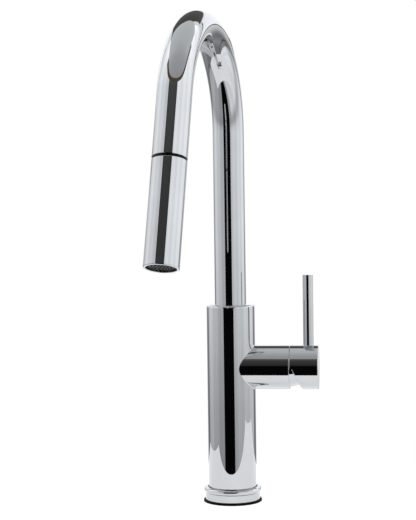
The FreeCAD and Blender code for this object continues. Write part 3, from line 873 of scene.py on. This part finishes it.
def nozzle_tree():
    """Rings of hollow nubs: each ring's points carry a turned nub."""
    tree, entry, leave = new_tree("nozzles", [
        ("Rings", "Int"), ("Ring Step", "Float"), ("Per Ring", "Int"), ("Material", "Material")])
    repeat_in = tree.nodes.new("GeometryNodeRepeatInput")
    repeat_out = tree.nodes.new("GeometryNodeRepeatOutput")
    repeat_in.pair_with_output(repeat_out)
    repeat_out.repeat_items.clear()
    repeat_out.repeat_items.new("GEOMETRY", "Points")
    repeat_out.repeat_items.new("INT", "Ring")
    number = add_node(tree, "ShaderNodeMath", operation="ADD", in_1=1.0)
    radius = add_node(tree, "ShaderNodeMath", operation="MULTIPLY")
    count = add_node(tree, "ShaderNodeMath", operation="MULTIPLY")
    circle = tree.nodes.new("GeometryNodeMeshCircle")
    points = tree.nodes.new("GeometryNodeMeshToPoints")
    join = tree.nodes.new("GeometryNodeJoinGeometry")
    wire(tree, entry, repeat_in, "Rings", "Iterations")
    wire(tree, repeat_in, number, "Ring")
    wire(tree, number, radius)
    wire(tree, entry, radius, "Ring Step", 1)
    wire(tree, number, count)
    wire(tree, entry, count, "Per Ring", 1)
    wire(tree, count, circle, 0, "Vertices")
    wire(tree, radius, circle, 0, "Radius")
    wire(tree, circle, points)
    wire(tree, points, join)
    wire(tree, repeat_in, join, "Points")
    wire(tree, join, repeat_out, 0, "Points")
    wire(tree, number, repeat_out, 0, "Ring")
    middle = add_node(tree, "GeometryNodeMeshLine", in_Count=1)
    centre = tree.nodes.new("GeometryNodeMeshToPoints")
    every = tree.nodes.new("GeometryNodeJoinGeometry")
    scatter = tree.nodes.new("GeometryNodeInstanceOnPoints")
    wire(tree, middle, centre)
    wire(tree, centre, every)
    wire(tree, repeat_out, every, "Points")
    wire(tree, every, scatter, 0, "Points")
    wire(tree, entry, scatter, "Geometry", "Instance")
    close_tree(tree, scatter, entry, leave)
    return tree


def make_nozzles():
    """The silicone nubs that stand through the face."""
    outer = sizes().nozzle
    hole, rim, foot = outer * 0.5, outer * 0.8, outer * 1.1
    face = FACE * MM
    tip, root = face - 0.5 * MM, face + 0.4 * MM
    shoulder = tip + outer * 0.3
    skin = Skin()
    skin.turned(UPRIGHT, [
        straight((hole, face), (hole, tip)), straight((hole, tip), (rim, tip)),
        straight((rim, tip), (outer, shoulder)), straight((outer, shoulder), (foot, root)),
    ], full_turn(10))
    nub = skin.object("nub")
    values = {"Rings": 4, "Ring Step": 2.55 * MM, "Per Ring": 6, "Material": finish("silicone")}
    nozzles = grown(nub, nozzle_tree(), values, "spray_nozzles")
    nozzles.data.transform(AT_SEAM)
    dress(nozzles, "head", "silicone", "nozzle_mat")


# --- dome, cap and lever ---


def make_dome():
    """The chrome dome that shows between hub and cap."""
    centre = PIVOT.x
    opening, outer, wall = 10.5 * MM, 17.2 * MM, 1.0 * MM
    inner = outer - wall
    skirt, skirt_inside = 16.95 * MM, 15.2 * MM
    skirt_foot, skirt_top = 50.0 * MM, 52.5 * MM
    first = math.degrees(math.asin((skirt_top - centre) / outer))
    last = math.degrees(math.acos(opening / outer))
    inside_last = math.degrees(math.acos(opening / inner))
    outer_lip = centre + outer * math.sin(math.radians(last))
    inner_lip = centre + inner * math.sin(math.radians(inside_last))
    dome = lathe("chrome_dome", AT_HUB, [
        straight((skirt, skirt_foot), (skirt, skirt_top)),
        arc((0, centre), outer, first, last, steps=24),
        straight((opening, outer_lip), (opening, inner_lip)),
        arc((0, centre), inner, inside_last, 0, steps=20, hollow=True),
        straight((inner, centre), (skirt_inside, centre)),
        straight((skirt_inside, centre), (skirt_inside, skirt_foot)),
        straight((skirt_inside, skirt_foot), (skirt, skirt_foot)),
    ])
    dress(dome, "body", "chrome", "bonnet_dome")


class CapHalf:
    """The upper half of the cap, or the lower one, which is cut back to a wedge."""

    edge_steps = 5
    hollow_steps = 16
    rim_steps = 8
    settling = 12
    cavity = 17.5 * MM
    edge = 0.45 * MM
    rim = 0.6 * MM

    def __init__(self, lower, outer, start, end):
        self.lower = lower
        self.outer = outer
        self.start = start
        self.end = end
        self.cut_start = start + 2 * MM
        self.slope = math.tan(sizes().wedge)
        half = sizes().turns // 2
        way = -1 if lower else 1
        turns = [math.pi * step / half * way for step in range(half + 1)]
        self.turns = turns[::-1] if lower else turns
        self.facing = Vector((-1, 0, -self.slope)).normalized() if lower else Vector((-1, 0, 0))

    def spot(self, radius, angle, x):
        """A place at this radius and angle about the hub's axis."""
        return Vector((x, radius * math.cos(angle), HUB_Z + radius * math.sin(angle)))

    def lip(self, angle, radius):
        """Where this half starts along the hub at an angle and a radius."""
        return self.cut_start - radius * math.sin(angle) * self.slope if self.lower else self.start

    def edge_rows(self):
        """The rounded outer edge and the barrel behind it."""
        outer, edge = self.outer, self.edge
        rows = []
        for step in range(self.edge_steps + 1):
            swing = math.pi / 2 * step / self.edge_steps
            radius = outer - edge + edge * math.sin(swing)
            row = []
            for angle in self.turns:
                x = self.lip(angle, outer) + edge - edge * math.cos(swing)
                normal = self.facing * math.cos(swing) + across_x(angle) * math.sin(swing)
                row.append((self.spot(radius, angle, x), normal))
            rows.append(row)
        ends = [self.end - self.rim] if self.lower else [self.cut_start + edge, self.end - self.rim]
        for x in ends:
            rows.append([(self.spot(outer, angle, x), across_x(angle)) for angle in self.turns])
        return rows

    def mouth(self):
        """The front face's inner line, where it meets the round cavity."""
        line = []
        for angle in self.turns:
            deep = self.cavity
            x = self.lip(angle, deep)
            if x > PIVOT.x:
                for _ in range(self.settling):
                    deep = math.sqrt(max(self.cavity**2 - (x - PIVOT.x) ** 2, 0))
                    x = self.lip(angle, deep)
            line.append((self.spot(deep, angle, x), self.facing))
        return line

    def hollow_rows(self, mouth):
        """The cavity: a ball about the pivot, and above a straight stretch out to the mouth."""
        steps = self.hollow_steps
        rows = []
        for step in range(steps + 1):
            row = []
            for (point, _), angle in zip(mouth, self.turns):
                begin = math.asin(max(-1.0, min(1.0, (point - PIVOT).x / self.cavity)))
                swing = max(begin, 0) + (math.pi / 2 - max(begin, 0)) * (steps - step) / steps
                away = across_x(angle) * math.cos(swing) + Vector((math.sin(swing), 0, 0))
                row.append((PIVOT + away * self.cavity, -away))
            rows.append(row)
        if not self.lower:
            rows.append([(point, -across_x(angle)) for (point, _), angle in zip(mouth, self.turns)])
        return rows

    def end_rows(self):
        """The rounded rim and the flat end, as two sheets."""
        outer, end, rim = self.outer, self.end, self.rim
        for stretch in (
            arc((outer - rim, end - rim), rim, 0, 90, steps=self.rim_steps),
            straight((outer - rim, end), (0, end)),
        ):
            sheet = []
            for radius, x, out, along in stretch:
                sheet.append([
                    (self.spot(radius, a, x), Vector((along, out * math.cos(a), out * math.sin(a))))
                    for a in self.turns])
            yield sheet

    def add_to(self, skin):
        """Adds this half's surfaces and returns the rows of its outer edge and barrel."""
        rows = self.edge_rows()
        skin.sheet(rows, closed=False)
        mouth = self.mouth()
        skin.sheet([mouth, [(point, self.facing) for point, _ in rows[0]]], closed=False)
        skin.sheet(self.hollow_rows(mouth), closed=False)
        for sheet in self.end_rows():
            skin.sheet(sheet, closed=False)
        return rows


def make_cap():
    """The hub's tilting end: a cup whose lower half is cut back to a wedge, with polished edges."""
    outer = rounded_mm(CAP_HIGH.y)
    start, end = rounded_mm(CAP_LOW.x), rounded_mm(CAP_HIGH.x)
    skin = Skin()
    top_half = CapHalf(False, outer, start, end)
    upper_rows = top_half.add_to(skin)
    lower_rows = CapHalf(True, outer, start, end).add_to(skin)
    cavity, cut_start = top_half.cavity, top_half.cut_start
    last_upper = top_half.edge_steps + 2
    last_lower = top_half.edge_steps + 1
    down = Vector((0, 0, -1))
    for side in (1, -1):
        upper = [row[0 if side > 0 else -1][0] for row in upper_rows[:last_upper]]
        lower = [row[-1 if side > 0 else 0][0] for row in lower_rows[:last_lower]]
        corners = [Vector((start, side * cavity, HUB_Z)), *upper, *lower[-2::-1]]
        deep = math.sqrt(cavity**2 - (cut_start - PIVOT.x) ** 2)
        corners.append(Vector((cut_start, side * deep, HUB_Z)))
        corners.append(Vector((PIVOT.x, side * cavity, HUB_Z)))
        ledge = [(point, down) for point in corners]
        skin.face(ledge if side > 0 else ledge[::-1])
    cap = skin.object("chrome_cap")
    dress(cap, "handle", "chrome", "handle_cap")


def make_lever():
    """The straight lever with the small joint at its foot."""
    radius = rounded_mm((LEVER_HIGH.x - LEVER_LOW.x) / 2)
    top, edge = LEVER_HIGH.z, sizes().edge
    sides, steps = 64, 6
    up = Vector((0, 0, 1))
    skin = Skin()
    rows = saddle_rows(rounded_mm(CAP_HIGH.y), radius, sizes().weld, full_turn(sides), steps)
    stand = Matrix(((0, 0, -1), (0, 1, 0), (1, 0, 0))).to_4x4()
    place = Matrix.Translation(Vector((LEVER_X, 0, HUB_Z))) @ stand
    turn = place.to_3x3()
    root = [[(place @ point, turn @ normal) for point, normal in row] for row in rows]
    skin.sheet(root)
    foot = root[-1]
    skin.sheet([foot, [(Vector((point.x, point.y, top - edge)), normal) for point, normal in foot]])
    cap_rows = []
    for step in range(steps + 1):
        swing = math.pi / 2 * step / steps
        shrink = (radius - edge + edge * math.cos(swing)) / radius
        height = top - edge + edge * math.sin(swing)
        row = []
        for point, normal in foot:
            spot = Vector(((point.x - LEVER_X) * shrink + LEVER_X, point.y * shrink, height))
            row.append((spot, normal * math.cos(swing) + up * math.sin(swing)))
        cap_rows.append(row)
    skin.sheet(cap_rows)
    middle = Vector((LEVER_X, 0, top))
    skin.sheet([[(point, up) for point, _ in cap_rows[-1]], [(middle, up)] * sides])
    inside = Vector((LEVER_X, 0, LEVER_LOW.z))
    skin.sheet([[(inside, -up)] * sides, root[0]])
    lever = skin.object("chrome_lever")
    dress(lever, "handle", "chrome", "lever_pin")


# --- hose and stud ---

HOSE_SIDES = 24
STUD_SIDES = 32


def hose_piece(name, points):
    """A length of braided hose; its upright stretch has its own braid, wound about the riser's line."""
    hose = sweep(name, points, HOSE_R, HOSE_SIDES, "hose_braid", fill=True)
    hose.data.materials.append(bpy.data.materials[UPRIGHT_BRAID])
    for face in hose.data.polygons:
        upright = face.center.z < BEND_START and abs(face.center.y) < 2 * HOSE_R
        face.material_index = 1 if upright else 0
    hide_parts("spray_hose")
    return hose


def make_hose():
    """The braided hose: the length that stays in the spout, and the end that feeds out with the head."""
    stop, slack_end, slack_start = 20.05 * MM, 21 * MM, 50 * MM
    bend_step, fed_steps = math.radians(3), 40
    braid_finish(UPRIGHT_BRAID, UPRIGHT, HOSE_R)
    hose = hose_piece("hose_in_spout", spout_points(HOSE_LOW.z, slack_start, bend_step))
    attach(hose, "spout")
    fed = []
    for step in range(fed_steps + 1):
        fed.append(SEAM - SPOUT_END * (slack_start + (stop - slack_start) * step / fed_steps))
    end = hose_piece("pull_out_hose", fed)
    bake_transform(end)


def thread_tree():
    """A helix of a small round profile round the Z axis: the crest of a screw thread."""
    tree, entry, leave = new_tree("thread", [
        ("Radius", "Float"), ("Length", "Float"), ("Turns", "Float"), ("Crest", "Float"),
        ("Material", "Material")])
    spiral = add_node(tree, "GeometryNodeCurveSpiral", in_Resolution=20)
    circle = add_node(tree, "GeometryNodeCurvePrimitiveCircle", in_Resolution=4)
    tube = add_node(tree, "GeometryNodeCurveToMesh", in_Fill_Caps=True)
    join = tree.nodes.new("GeometryNodeJoinGeometry")
    wire(tree, entry, spiral, "Turns", "Rotations")
    wire(tree, entry, spiral, "Radius", "Start Radius")
    wire(tree, entry, spiral, "Radius", "End Radius")
    wire(tree, entry, spiral, "Length", "Height")
    wire(tree, entry, circle, "Crest", "Radius")
    wire(tree, spiral, tube, "Curve", "Curve")
    wire(tree, circle, tube, "Curve", "Profile Curve")
    wire(tree, tube, join)
    wire(tree, entry, join, "Geometry")
    close_tree(tree, join, entry, leave)
    return tree


def make_stud():
    """The threaded stud that clamps the faucet from below."""
    pitch = sizes().thread_pitch
    outer, crest_share = 3.95 * MM, 0.42
    foot_round, top_round = 0.5 * MM, 0.4 * MM
    crest = pitch * crest_share
    core = outer - crest
    low, high = STUD_LOW.z, STUD_HIGH.z
    skin = Skin()
    outline = rounded([(0, low, 0), (core, low, foot_round), (core, high, top_round), (0, high, 0)], steps=3)
    skin.turned(UPRIGHT, outline, full_turn(STUD_SIDES))
    rod = skin.object("stud_core")
    rod.data.transform(Matrix.Translation((0, 0, -low - pitch / 2)))
    length = high - low - pitch
    values = {
        "Radius": core, "Length": length, "Turns": length / pitch, "Crest": crest,
        "Material": finish("steel"),
    }
    stud = grown(rod, thread_tree(), values, "threaded_stud")
    stud.data.transform(Matrix.Translation((STUD_X, STUD_Y, low + pitch / 2)))
    dress(stud, "body", "steel", "mounting_stud")


def dress_cad_nodes():
    """Gives every CAD node its procedural finish."""
    for part in frame["record"]["subparts"]:
        node = frame["nodes"][part["node"]]
        node.data.materials.clear()
        node.data.materials.append(finish(part["material_slot"]))


# --- studio ---

CAMERA_PLACE = Vector((0.1340, -1.2660, 0.2704))
CAMERA_YAW = math.radians(-6.92)
CAMERA_PITCH = math.radians(-2.46)
CAMERA_ROLL = math.radians(-0.78)
CAMERA_LENS = 99.07
CAMERA_NEAR = 0.02
TABLE_GLOW = 0.62


def make_camera():
    """The camera, level with the middle of the faucet and a little to its right."""
    yaw, pitch, roll = CAMERA_YAW, CAMERA_PITCH, CAMERA_ROLL
    ahead = Vector((math.sin(yaw) * math.cos(pitch), math.cos(yaw) * math.cos(pitch), math.sin(pitch)))
    right = Vector((math.cos(yaw), -math.sin(yaw), 0))
    up = right.cross(ahead)
    tilted_right = right * math.cos(roll) + up * math.sin(roll)
    tilted_up = up * math.cos(roll) - right * math.sin(roll)
    data = bpy.data.cameras.new("camera")
    data.lens = CAMERA_LENS
    data.clip_start = CAMERA_NEAR
    camera = new_object("camera", data)
    turn = Matrix((tilted_right, tilted_up, -ahead)).transposed()
    camera.matrix_world = Matrix.Translation(CAMERA_PLACE) @ turn.to_4x4()
    bpy.context.scene.camera = camera


def make_table():
    """The pale table top, bright enough to stay white."""
    mesh = bpy.data.meshes.new("table")
    left, right, front, back = -0.28, 0.47, -0.16, 0.17
    corners = [(left, front, 0), (right, front, 0), (right, back, 0), (left, back, 0)]
    mesh.from_pydata(corners, [], [(0, 1, 2, 3)])
    table = new_object("table", mesh)
    colour = tuple(finishes().floor)
    tree, shader = new_material("table_top", colour, metallic=0.0, roughness=0.7)
    tint(tree, shader, noise(tree, 6.0), colour, dark=0.98, light=1.02)
    shader.inputs["Emission Color"].default_value = (1.0, 1.0, 1.0, 1.0)
    shader.inputs["Emission Strength"].default_value = TABLE_GLOW
    shader.inputs["Specular IOR Level"].default_value = 0.0
    mesh.materials.append(bpy.data.materials["table_top"])


COOL = (0.982, 0.997, 1.021)
FRAME_BROWN = (0.11, 0.085, 0.05)
LEAST_NEAR = 1e-4
LEAST_UP = 1e-3
MIX_UNDER, MIX_OVER, MIX_RESULT = 6, 7, 2


def cool(value):
    """A grey with the faint blue of daylight."""
    return tuple(value * c for c in COOL)


class Sky:
    """Builds the light that reaches the faucet as layers over the direction it comes from."""

    def __init__(self, tree):
        """Splits the direction into across, near (towards the camera) and up, and their angles."""
        self.tree = tree
        place = add_node(tree, "ShaderNodeTexCoord")
        turn = add_node(tree, "ShaderNodeVectorRotate", rotation_type="Z_AXIS", in_Angle=CAMERA_YAW)
        split = add_node(tree, "ShaderNodeSeparateXYZ")
        wire(tree, place, turn, "Generated")
        wire(tree, turn, split)
        self.across = (split, 0)
        self.near = self.math("MULTIPLY", (split, 1), -1.0)
        self.up = (split, 2)
        self.bearing = self.math("ARCTAN2", self.across, self.near)
        self.height = self.math("ARCSINE", self.up)
        self.over = self.math("ARCTAN2", self.up, self.near)
        self.light = None

    def math(self, operation, *values):
        """A Math node in the world's tree."""
        return maths(self.tree, operation, *values)

    def line(self, value, slope, start):
        """value * slope + start."""
        return self.math("MULTIPLY_ADD", value, slope, start)

    def graded(self, angle, stops, shade=float):
        """A ramp over an angle, from (degrees, value) stops; shade turns each value into a colour."""
        share = self.line(angle, 1 / (2 * math.pi), 0.5)
        return ramp(self.tree, share, [(0.5 + degrees / 360, shade(value)) for degrees, value in stops])

    def between(self, value, low, high):
        """1 where low < value < high, and 0 elsewhere; the limits are numbers or sockets."""
        return self.both(self.math("GREATER_THAN", value, low), self.math("LESS_THAN", value, high))

    def angle_between(self, angle, low, high):
        """The same for an angle and limits in degrees."""
        return self.between(angle, math.radians(low), math.radians(high))

    def both(self, *masks):
        """The product of several masks or values."""
        product = masks[0]
        for mask in masks[1:]:
            product = self.math("MULTIPLY", product, mask)
        return product

    def cover(self, mask, source):
        """Lays a colour, or a socket's colour, over the light where the mask is 1."""
        mix = add_node(self.tree, "ShaderNodeMix", data_type="RGBA")
        wire(self.tree, mask[0], mix, mask[1])
        wire(self.tree, self.light[0], mix, self.light[1], MIX_UNDER)
        if isinstance(source[0], float):
            mix.inputs[MIX_OVER].default_value = (*source, 1.0)
        else:
            wire(self.tree, source[0], mix, source[1], MIX_OVER)
        self.light = (mix, MIX_RESULT)


def lay_side_panels(sky):
    """White panels all round, dimmer beside the gap, low down and at the table's far corners."""
    sides = sky.graded(sky.bearing, [
        (-180, 1.1), (-126, 1.08), (-104, 1.06), (-90, 0.98), (-62, 0.78), (-36, 0.71), (14, 0.94),
        (60, 1.08), (90, 1.2), (126, 1.3), (180, 1.1)], cool)
    lift = sky.graded(sky.height, [
        (-90, 0.6), (-24, 0.62), (-14, 0.56), (-11, 0.56), (-8, 0.66), (-5, 0.86), (-2, 0.95), (1, 1.0),
        (15, 1.1), (33, 1.24), (52, 1.6), (90, 1.75)])
    low_right = sky.graded(sky.height, [(-24, 0.36), (-14, 0.0)])
    lift = sky.math("ADD", lift, sky.both(sky.angle_between(sky.bearing, 28, 130), low_right))
    wide_wave, narrow_wave, depth = 13.0, 23.0, 0.12
    waves = [sky.math("SINE", sky.both(sky.bearing, count)) for count in (wide_wave, narrow_wave)]
    strength = sky.both(lift, sky.line(sky.both(*waves), depth, 1.0))
    panels = add_node(sky.tree, "ShaderNodeVectorMath", operation="SCALE")
    wire(sky.tree, sides[0], panels)
    wire(sky.tree, strength[0], panels, 0, "Scale")
    sky.light = (panels, 0)
    corners = sky.graded(sky.height, [
        (-90, 0.2), (-41, 0.26), (-25, 0.38), (-12, 0.24), (-8, 0.27), (-5, 0.34), (-2, 0.48), (1, 0.66),
        (9, 0.95), (30, 1.1)], cool)
    sky.cover(sky.angle_between(sky.math("ABSOLUTE", sky.bearing), 130, 160), corners)


def lay_gap(sky):
    """The dark gap between the panels on the camera's side, a little wider towards the top."""
    above = sky.math("MAXIMUM", sky.up, 0.0)
    left = sky.line(above, -0.35, -0.73)
    right = sky.line(above, 0.33, 0.23)
    offset = sky.math("DIVIDE", sky.across, sky.math("MAXIMUM", sky.near, LEAST_NEAR))
    dark = sky.graded(sky.height, [
        (-90, 0.003), (9, 0.003), (13, 0.035), (22, 0.052), (34, 0.062), (42, 0.11), (53, 0.15), (90, 0.2)])
    sky.cover(sky.between(offset, left, right), dark)


def lay_dim_ceiling(sky, across, near, overhead):
    """The dim ceiling behind the faucet, between two slanting edges."""
    left_end = -0.72
    near_edge = sky.math("MINIMUM", sky.line(across, -0.695, -0.26), -0.5)
    far_edge = sky.line(across, 0.87, -2.0)
    inside = sky.math("GREATER_THAN", across, left_end)
    dim = sky.both(sky.between(near, far_edge, near_edge), inside, overhead)
    sky.cover(dim, sky.graded(sky.over, [(110, (0.07, 0.068, 0.065)), (155, (0.15, 0.147, 0.14))], tuple))


def lay_round_panel(sky, across, near, overhead):
    """The round grey panel overhead, cut off behind, in a thin brown frame."""
    middle_across, middle_near = 0.2, 0.25
    half_across, half_front, half_back = 1.05, 0.78, 2.0
    behind = sky.math("LESS_THAN", near, middle_near)
    half_near = sky.line(behind, half_back - half_front, half_front)
    off_across = sky.line(across, 1 / half_across, -middle_across / half_across)
    off_near = sky.math("DIVIDE", sky.math("SUBTRACT", near, middle_near), half_near)
    squares = [sky.math("POWER", sky.math("ABSOLUTE", off), 2.0) for off in (off_across, off_near)]
    far = sky.math("ADD", *squares)
    frame_start, frame_end, panel_end = 0.8, 1.28, 0.9
    in_front = sky.math("GREATER_THAN", near, sky.line(across, -0.144, -0.143))
    sky.cover(sky.both(sky.between(far, frame_start, frame_end), in_front, overhead), FRAME_BROWN)
    back_edge = sky.math("MINIMUM", sky.line(across, 0.4, -0.51), -0.55)
    cut = sky.math("GREATER_THAN", near, back_edge)
    panel = sky.graded(sky.over, [(0, 0.42), (45, 0.44), (70, 0.55), (88, 0.72), (120, 0.8)], cool)
    sky.cover(sky.both(sky.math("LESS_THAN", far, panel_end), cut, overhead), panel)


def lay_ceiling(sky):
    """What hangs overhead, drawn on a level ceiling one unit up."""
    height = sky.math("MAXIMUM", sky.up, LEAST_UP)
    across = sky.math("DIVIDE", sky.across, height)
    near = sky.math("DIVIDE", sky.near, height)
    overhead = sky.math("GREATER_THAN", sky.up, 0.0)
    lay_dim_ceiling(sky, across, near, overhead)
    lay_round_panel(sky, across, near, overhead)


def lay_backdrop(sky):
    """The lower edge of the backdrop behind the faucet, in the same thin frame."""
    post_start, post_end = 136.5, 138
    floor, frame_low, frame_high, top = -45, 7.5, 9, 31
    apart = sky.math("ABSOLUTE", sky.bearing)
    behind = sky.math("GREATER_THAN", apart, math.radians(post_end))
    sky.cover(sky.both(behind, sky.angle_between(sky.height, frame_high, top)), cool(1.35))
    ledge = sky.both(behind, sky.angle_between(sky.height, frame_low, frame_high))
    post = sky.both(sky.angle_between(apart, post_start, post_end), sky.angle_between(sky.height, floor, top))
    sky.cover(sky.math("MAXIMUM", ledge, post), FRAME_BROWN)


def make_surroundings():
    """A tent of white panels with a dark gap on the camera's side and a grey panel overhead."""
    world = bpy.data.worlds.new("studio")
    bpy.context.scene.world = world
    world.use_nodes = True
    tree = world.node_tree
    tree.nodes.clear()
    sky = Sky(tree)
    for lay in (lay_side_panels, lay_gap, lay_ceiling, lay_backdrop):
        lay(sky)
    seen = add_node(tree, "ShaderNodeLightPath")
    backdrop = add_node(tree, "ShaderNodeBackground", in_Color=(1.0, 1.0, 1.0, 1.0), in_Strength=1.0)
    lit = add_node(tree, "ShaderNodeBackground", in_Strength=1.0)
    choose = add_node(tree, "ShaderNodeMixShader")
    output = add_node(tree, "ShaderNodeOutputWorld")
    wire(tree, sky.light[0], lit, sky.light[1], "Color")
    wire(tree, seen, choose, "Is Camera Ray", 0)
    wire(tree, lit, choose, 0, 1)
    wire(tree, backdrop, choose, 0, 2)
    wire(tree, choose, output, 0, "Surface")


def make_stage():
    """Camera, table and light."""
    bpy.context.scene.view_settings.view_transform = "Standard"
    make_camera()
    make_table()
    make_surroundings()


# --- operators and panel ---


class FAUCET_OT_stage(bpy.types.Operator):
    """Make the camera, the table and the light"""

    bl_idname = "faucet.stage"
    bl_label = "Studio"

    def execute(self, context):
        make_stage()
        return {"FINISHED"}


class FAUCET_OT_finishes(bpy.types.Operator):
    """Make every finish and give it to the frame's own pieces"""

    bl_idname = "faucet.finishes"
    bl_label = "Finishes"

    def execute(self, context):
        make_finishes()
        dress_cad_nodes()
        return {"FINISHED"}


class FAUCET_OT_base(bpy.types.Operator):
    """Make the gasket and the base ring"""

    bl_idname = "faucet.base"
    bl_label = "Base"

    def execute(self, context):
        make_base()
        return {"FINISHED"}


class FAUCET_OT_body(bpy.types.Operator):
    """Make the body with its hub, and the collar in its top"""

    bl_idname = "faucet.body"
    bl_label = "Body"

    def execute(self, context):
        make_body()
        make_collar()
        return {"FINISHED"}


class FAUCET_OT_spout(bpy.types.Operator):
    """Make the gooseneck and the guide in its mouth"""

    bl_idname = "faucet.spout"
    bl_label = "Spout"

    def execute(self, context):
        make_spout()
        make_dock()
        return {"FINISHED"}


class FAUCET_OT_hose(bpy.types.Operator):
    """Make the pull-out hose"""

    bl_idname = "faucet.hose"
    bl_label = "Hose"

    def execute(self, context):
        make_hose()
        return {"FINISHED"}


class FAUCET_OT_head(bpy.types.Operator):
    """Make the spray head, its face and its nozzles"""

    bl_idname = "faucet.head"
    bl_label = "Spray head"

    def execute(self, context):
        make_head()
        make_nozzles()
        return {"FINISHED"}


class FAUCET_OT_handle(bpy.types.Operator):
    """Make the dome, the tilting cap and the lever"""

    bl_idname = "faucet.handle"
    bl_label = "Handle"

    def execute(self, context):
        make_dome()
        make_cap()
        make_lever()
        return {"FINISHED"}


class FAUCET_OT_fixing(bpy.types.Operator):
    """Make the threaded stud below the base"""

    bl_idname = "faucet.fixing"
    bl_label = "Deck fixing"

    def execute(self, context):
        make_stud()
        return {"FINISHED"}


class FAUCET_PT_panel(bpy.types.Panel):
    """Sizes, colours and the makers of each piece"""

    bl_idname = "FAUCET_PT_panel"
    bl_label = "Kitchen faucet"
    bl_space_type = "VIEW_3D"
    bl_region_type = "UI"
    bl_category = "Faucet"

    def draw(self, context):
        layout = self.layout
        for group in (context.scene.faucet_sizes, context.scene.faucet_finishes):
            box = layout.box()
            for name in group.__annotations__:
                box.prop(group, name)
        for maker in MAKERS:
            layout.operator(maker.bl_idname)


MAKERS = (
    FAUCET_OT_stage, FAUCET_OT_finishes, FAUCET_OT_base, FAUCET_OT_body, FAUCET_OT_spout, FAUCET_OT_hose,
    FAUCET_OT_head, FAUCET_OT_handle, FAUCET_OT_fixing,
)
CLASSES = (FaucetSizes, FaucetFinishes, *MAKERS, FAUCET_PT_panel)


def register():
    """Registers the classes and hangs the settings on the scene."""
    for item in CLASSES:
        bpy.utils.register_class(item)
    bpy.types.Scene.faucet_sizes = bpy.props.PointerProperty(type=FaucetSizes)
    bpy.types.Scene.faucet_finishes = bpy.props.PointerProperty(type=FaucetFinishes)


def unregister():
    """Takes the settings and the classes away again."""
    del bpy.types.Scene.faucet_finishes
    del bpy.types.Scene.faucet_sizes
    for item in reversed(CLASSES):
        bpy.utils.unregister_class(item)


def main():
    """Makes the whole faucet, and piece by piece."""
    register()
    for maker in MAKERS:
        group, name = maker.bl_idname.split(".")
        getattr(getattr(bpy.ops, group), name)()
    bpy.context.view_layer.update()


if __name__ == "__main__":
    main()
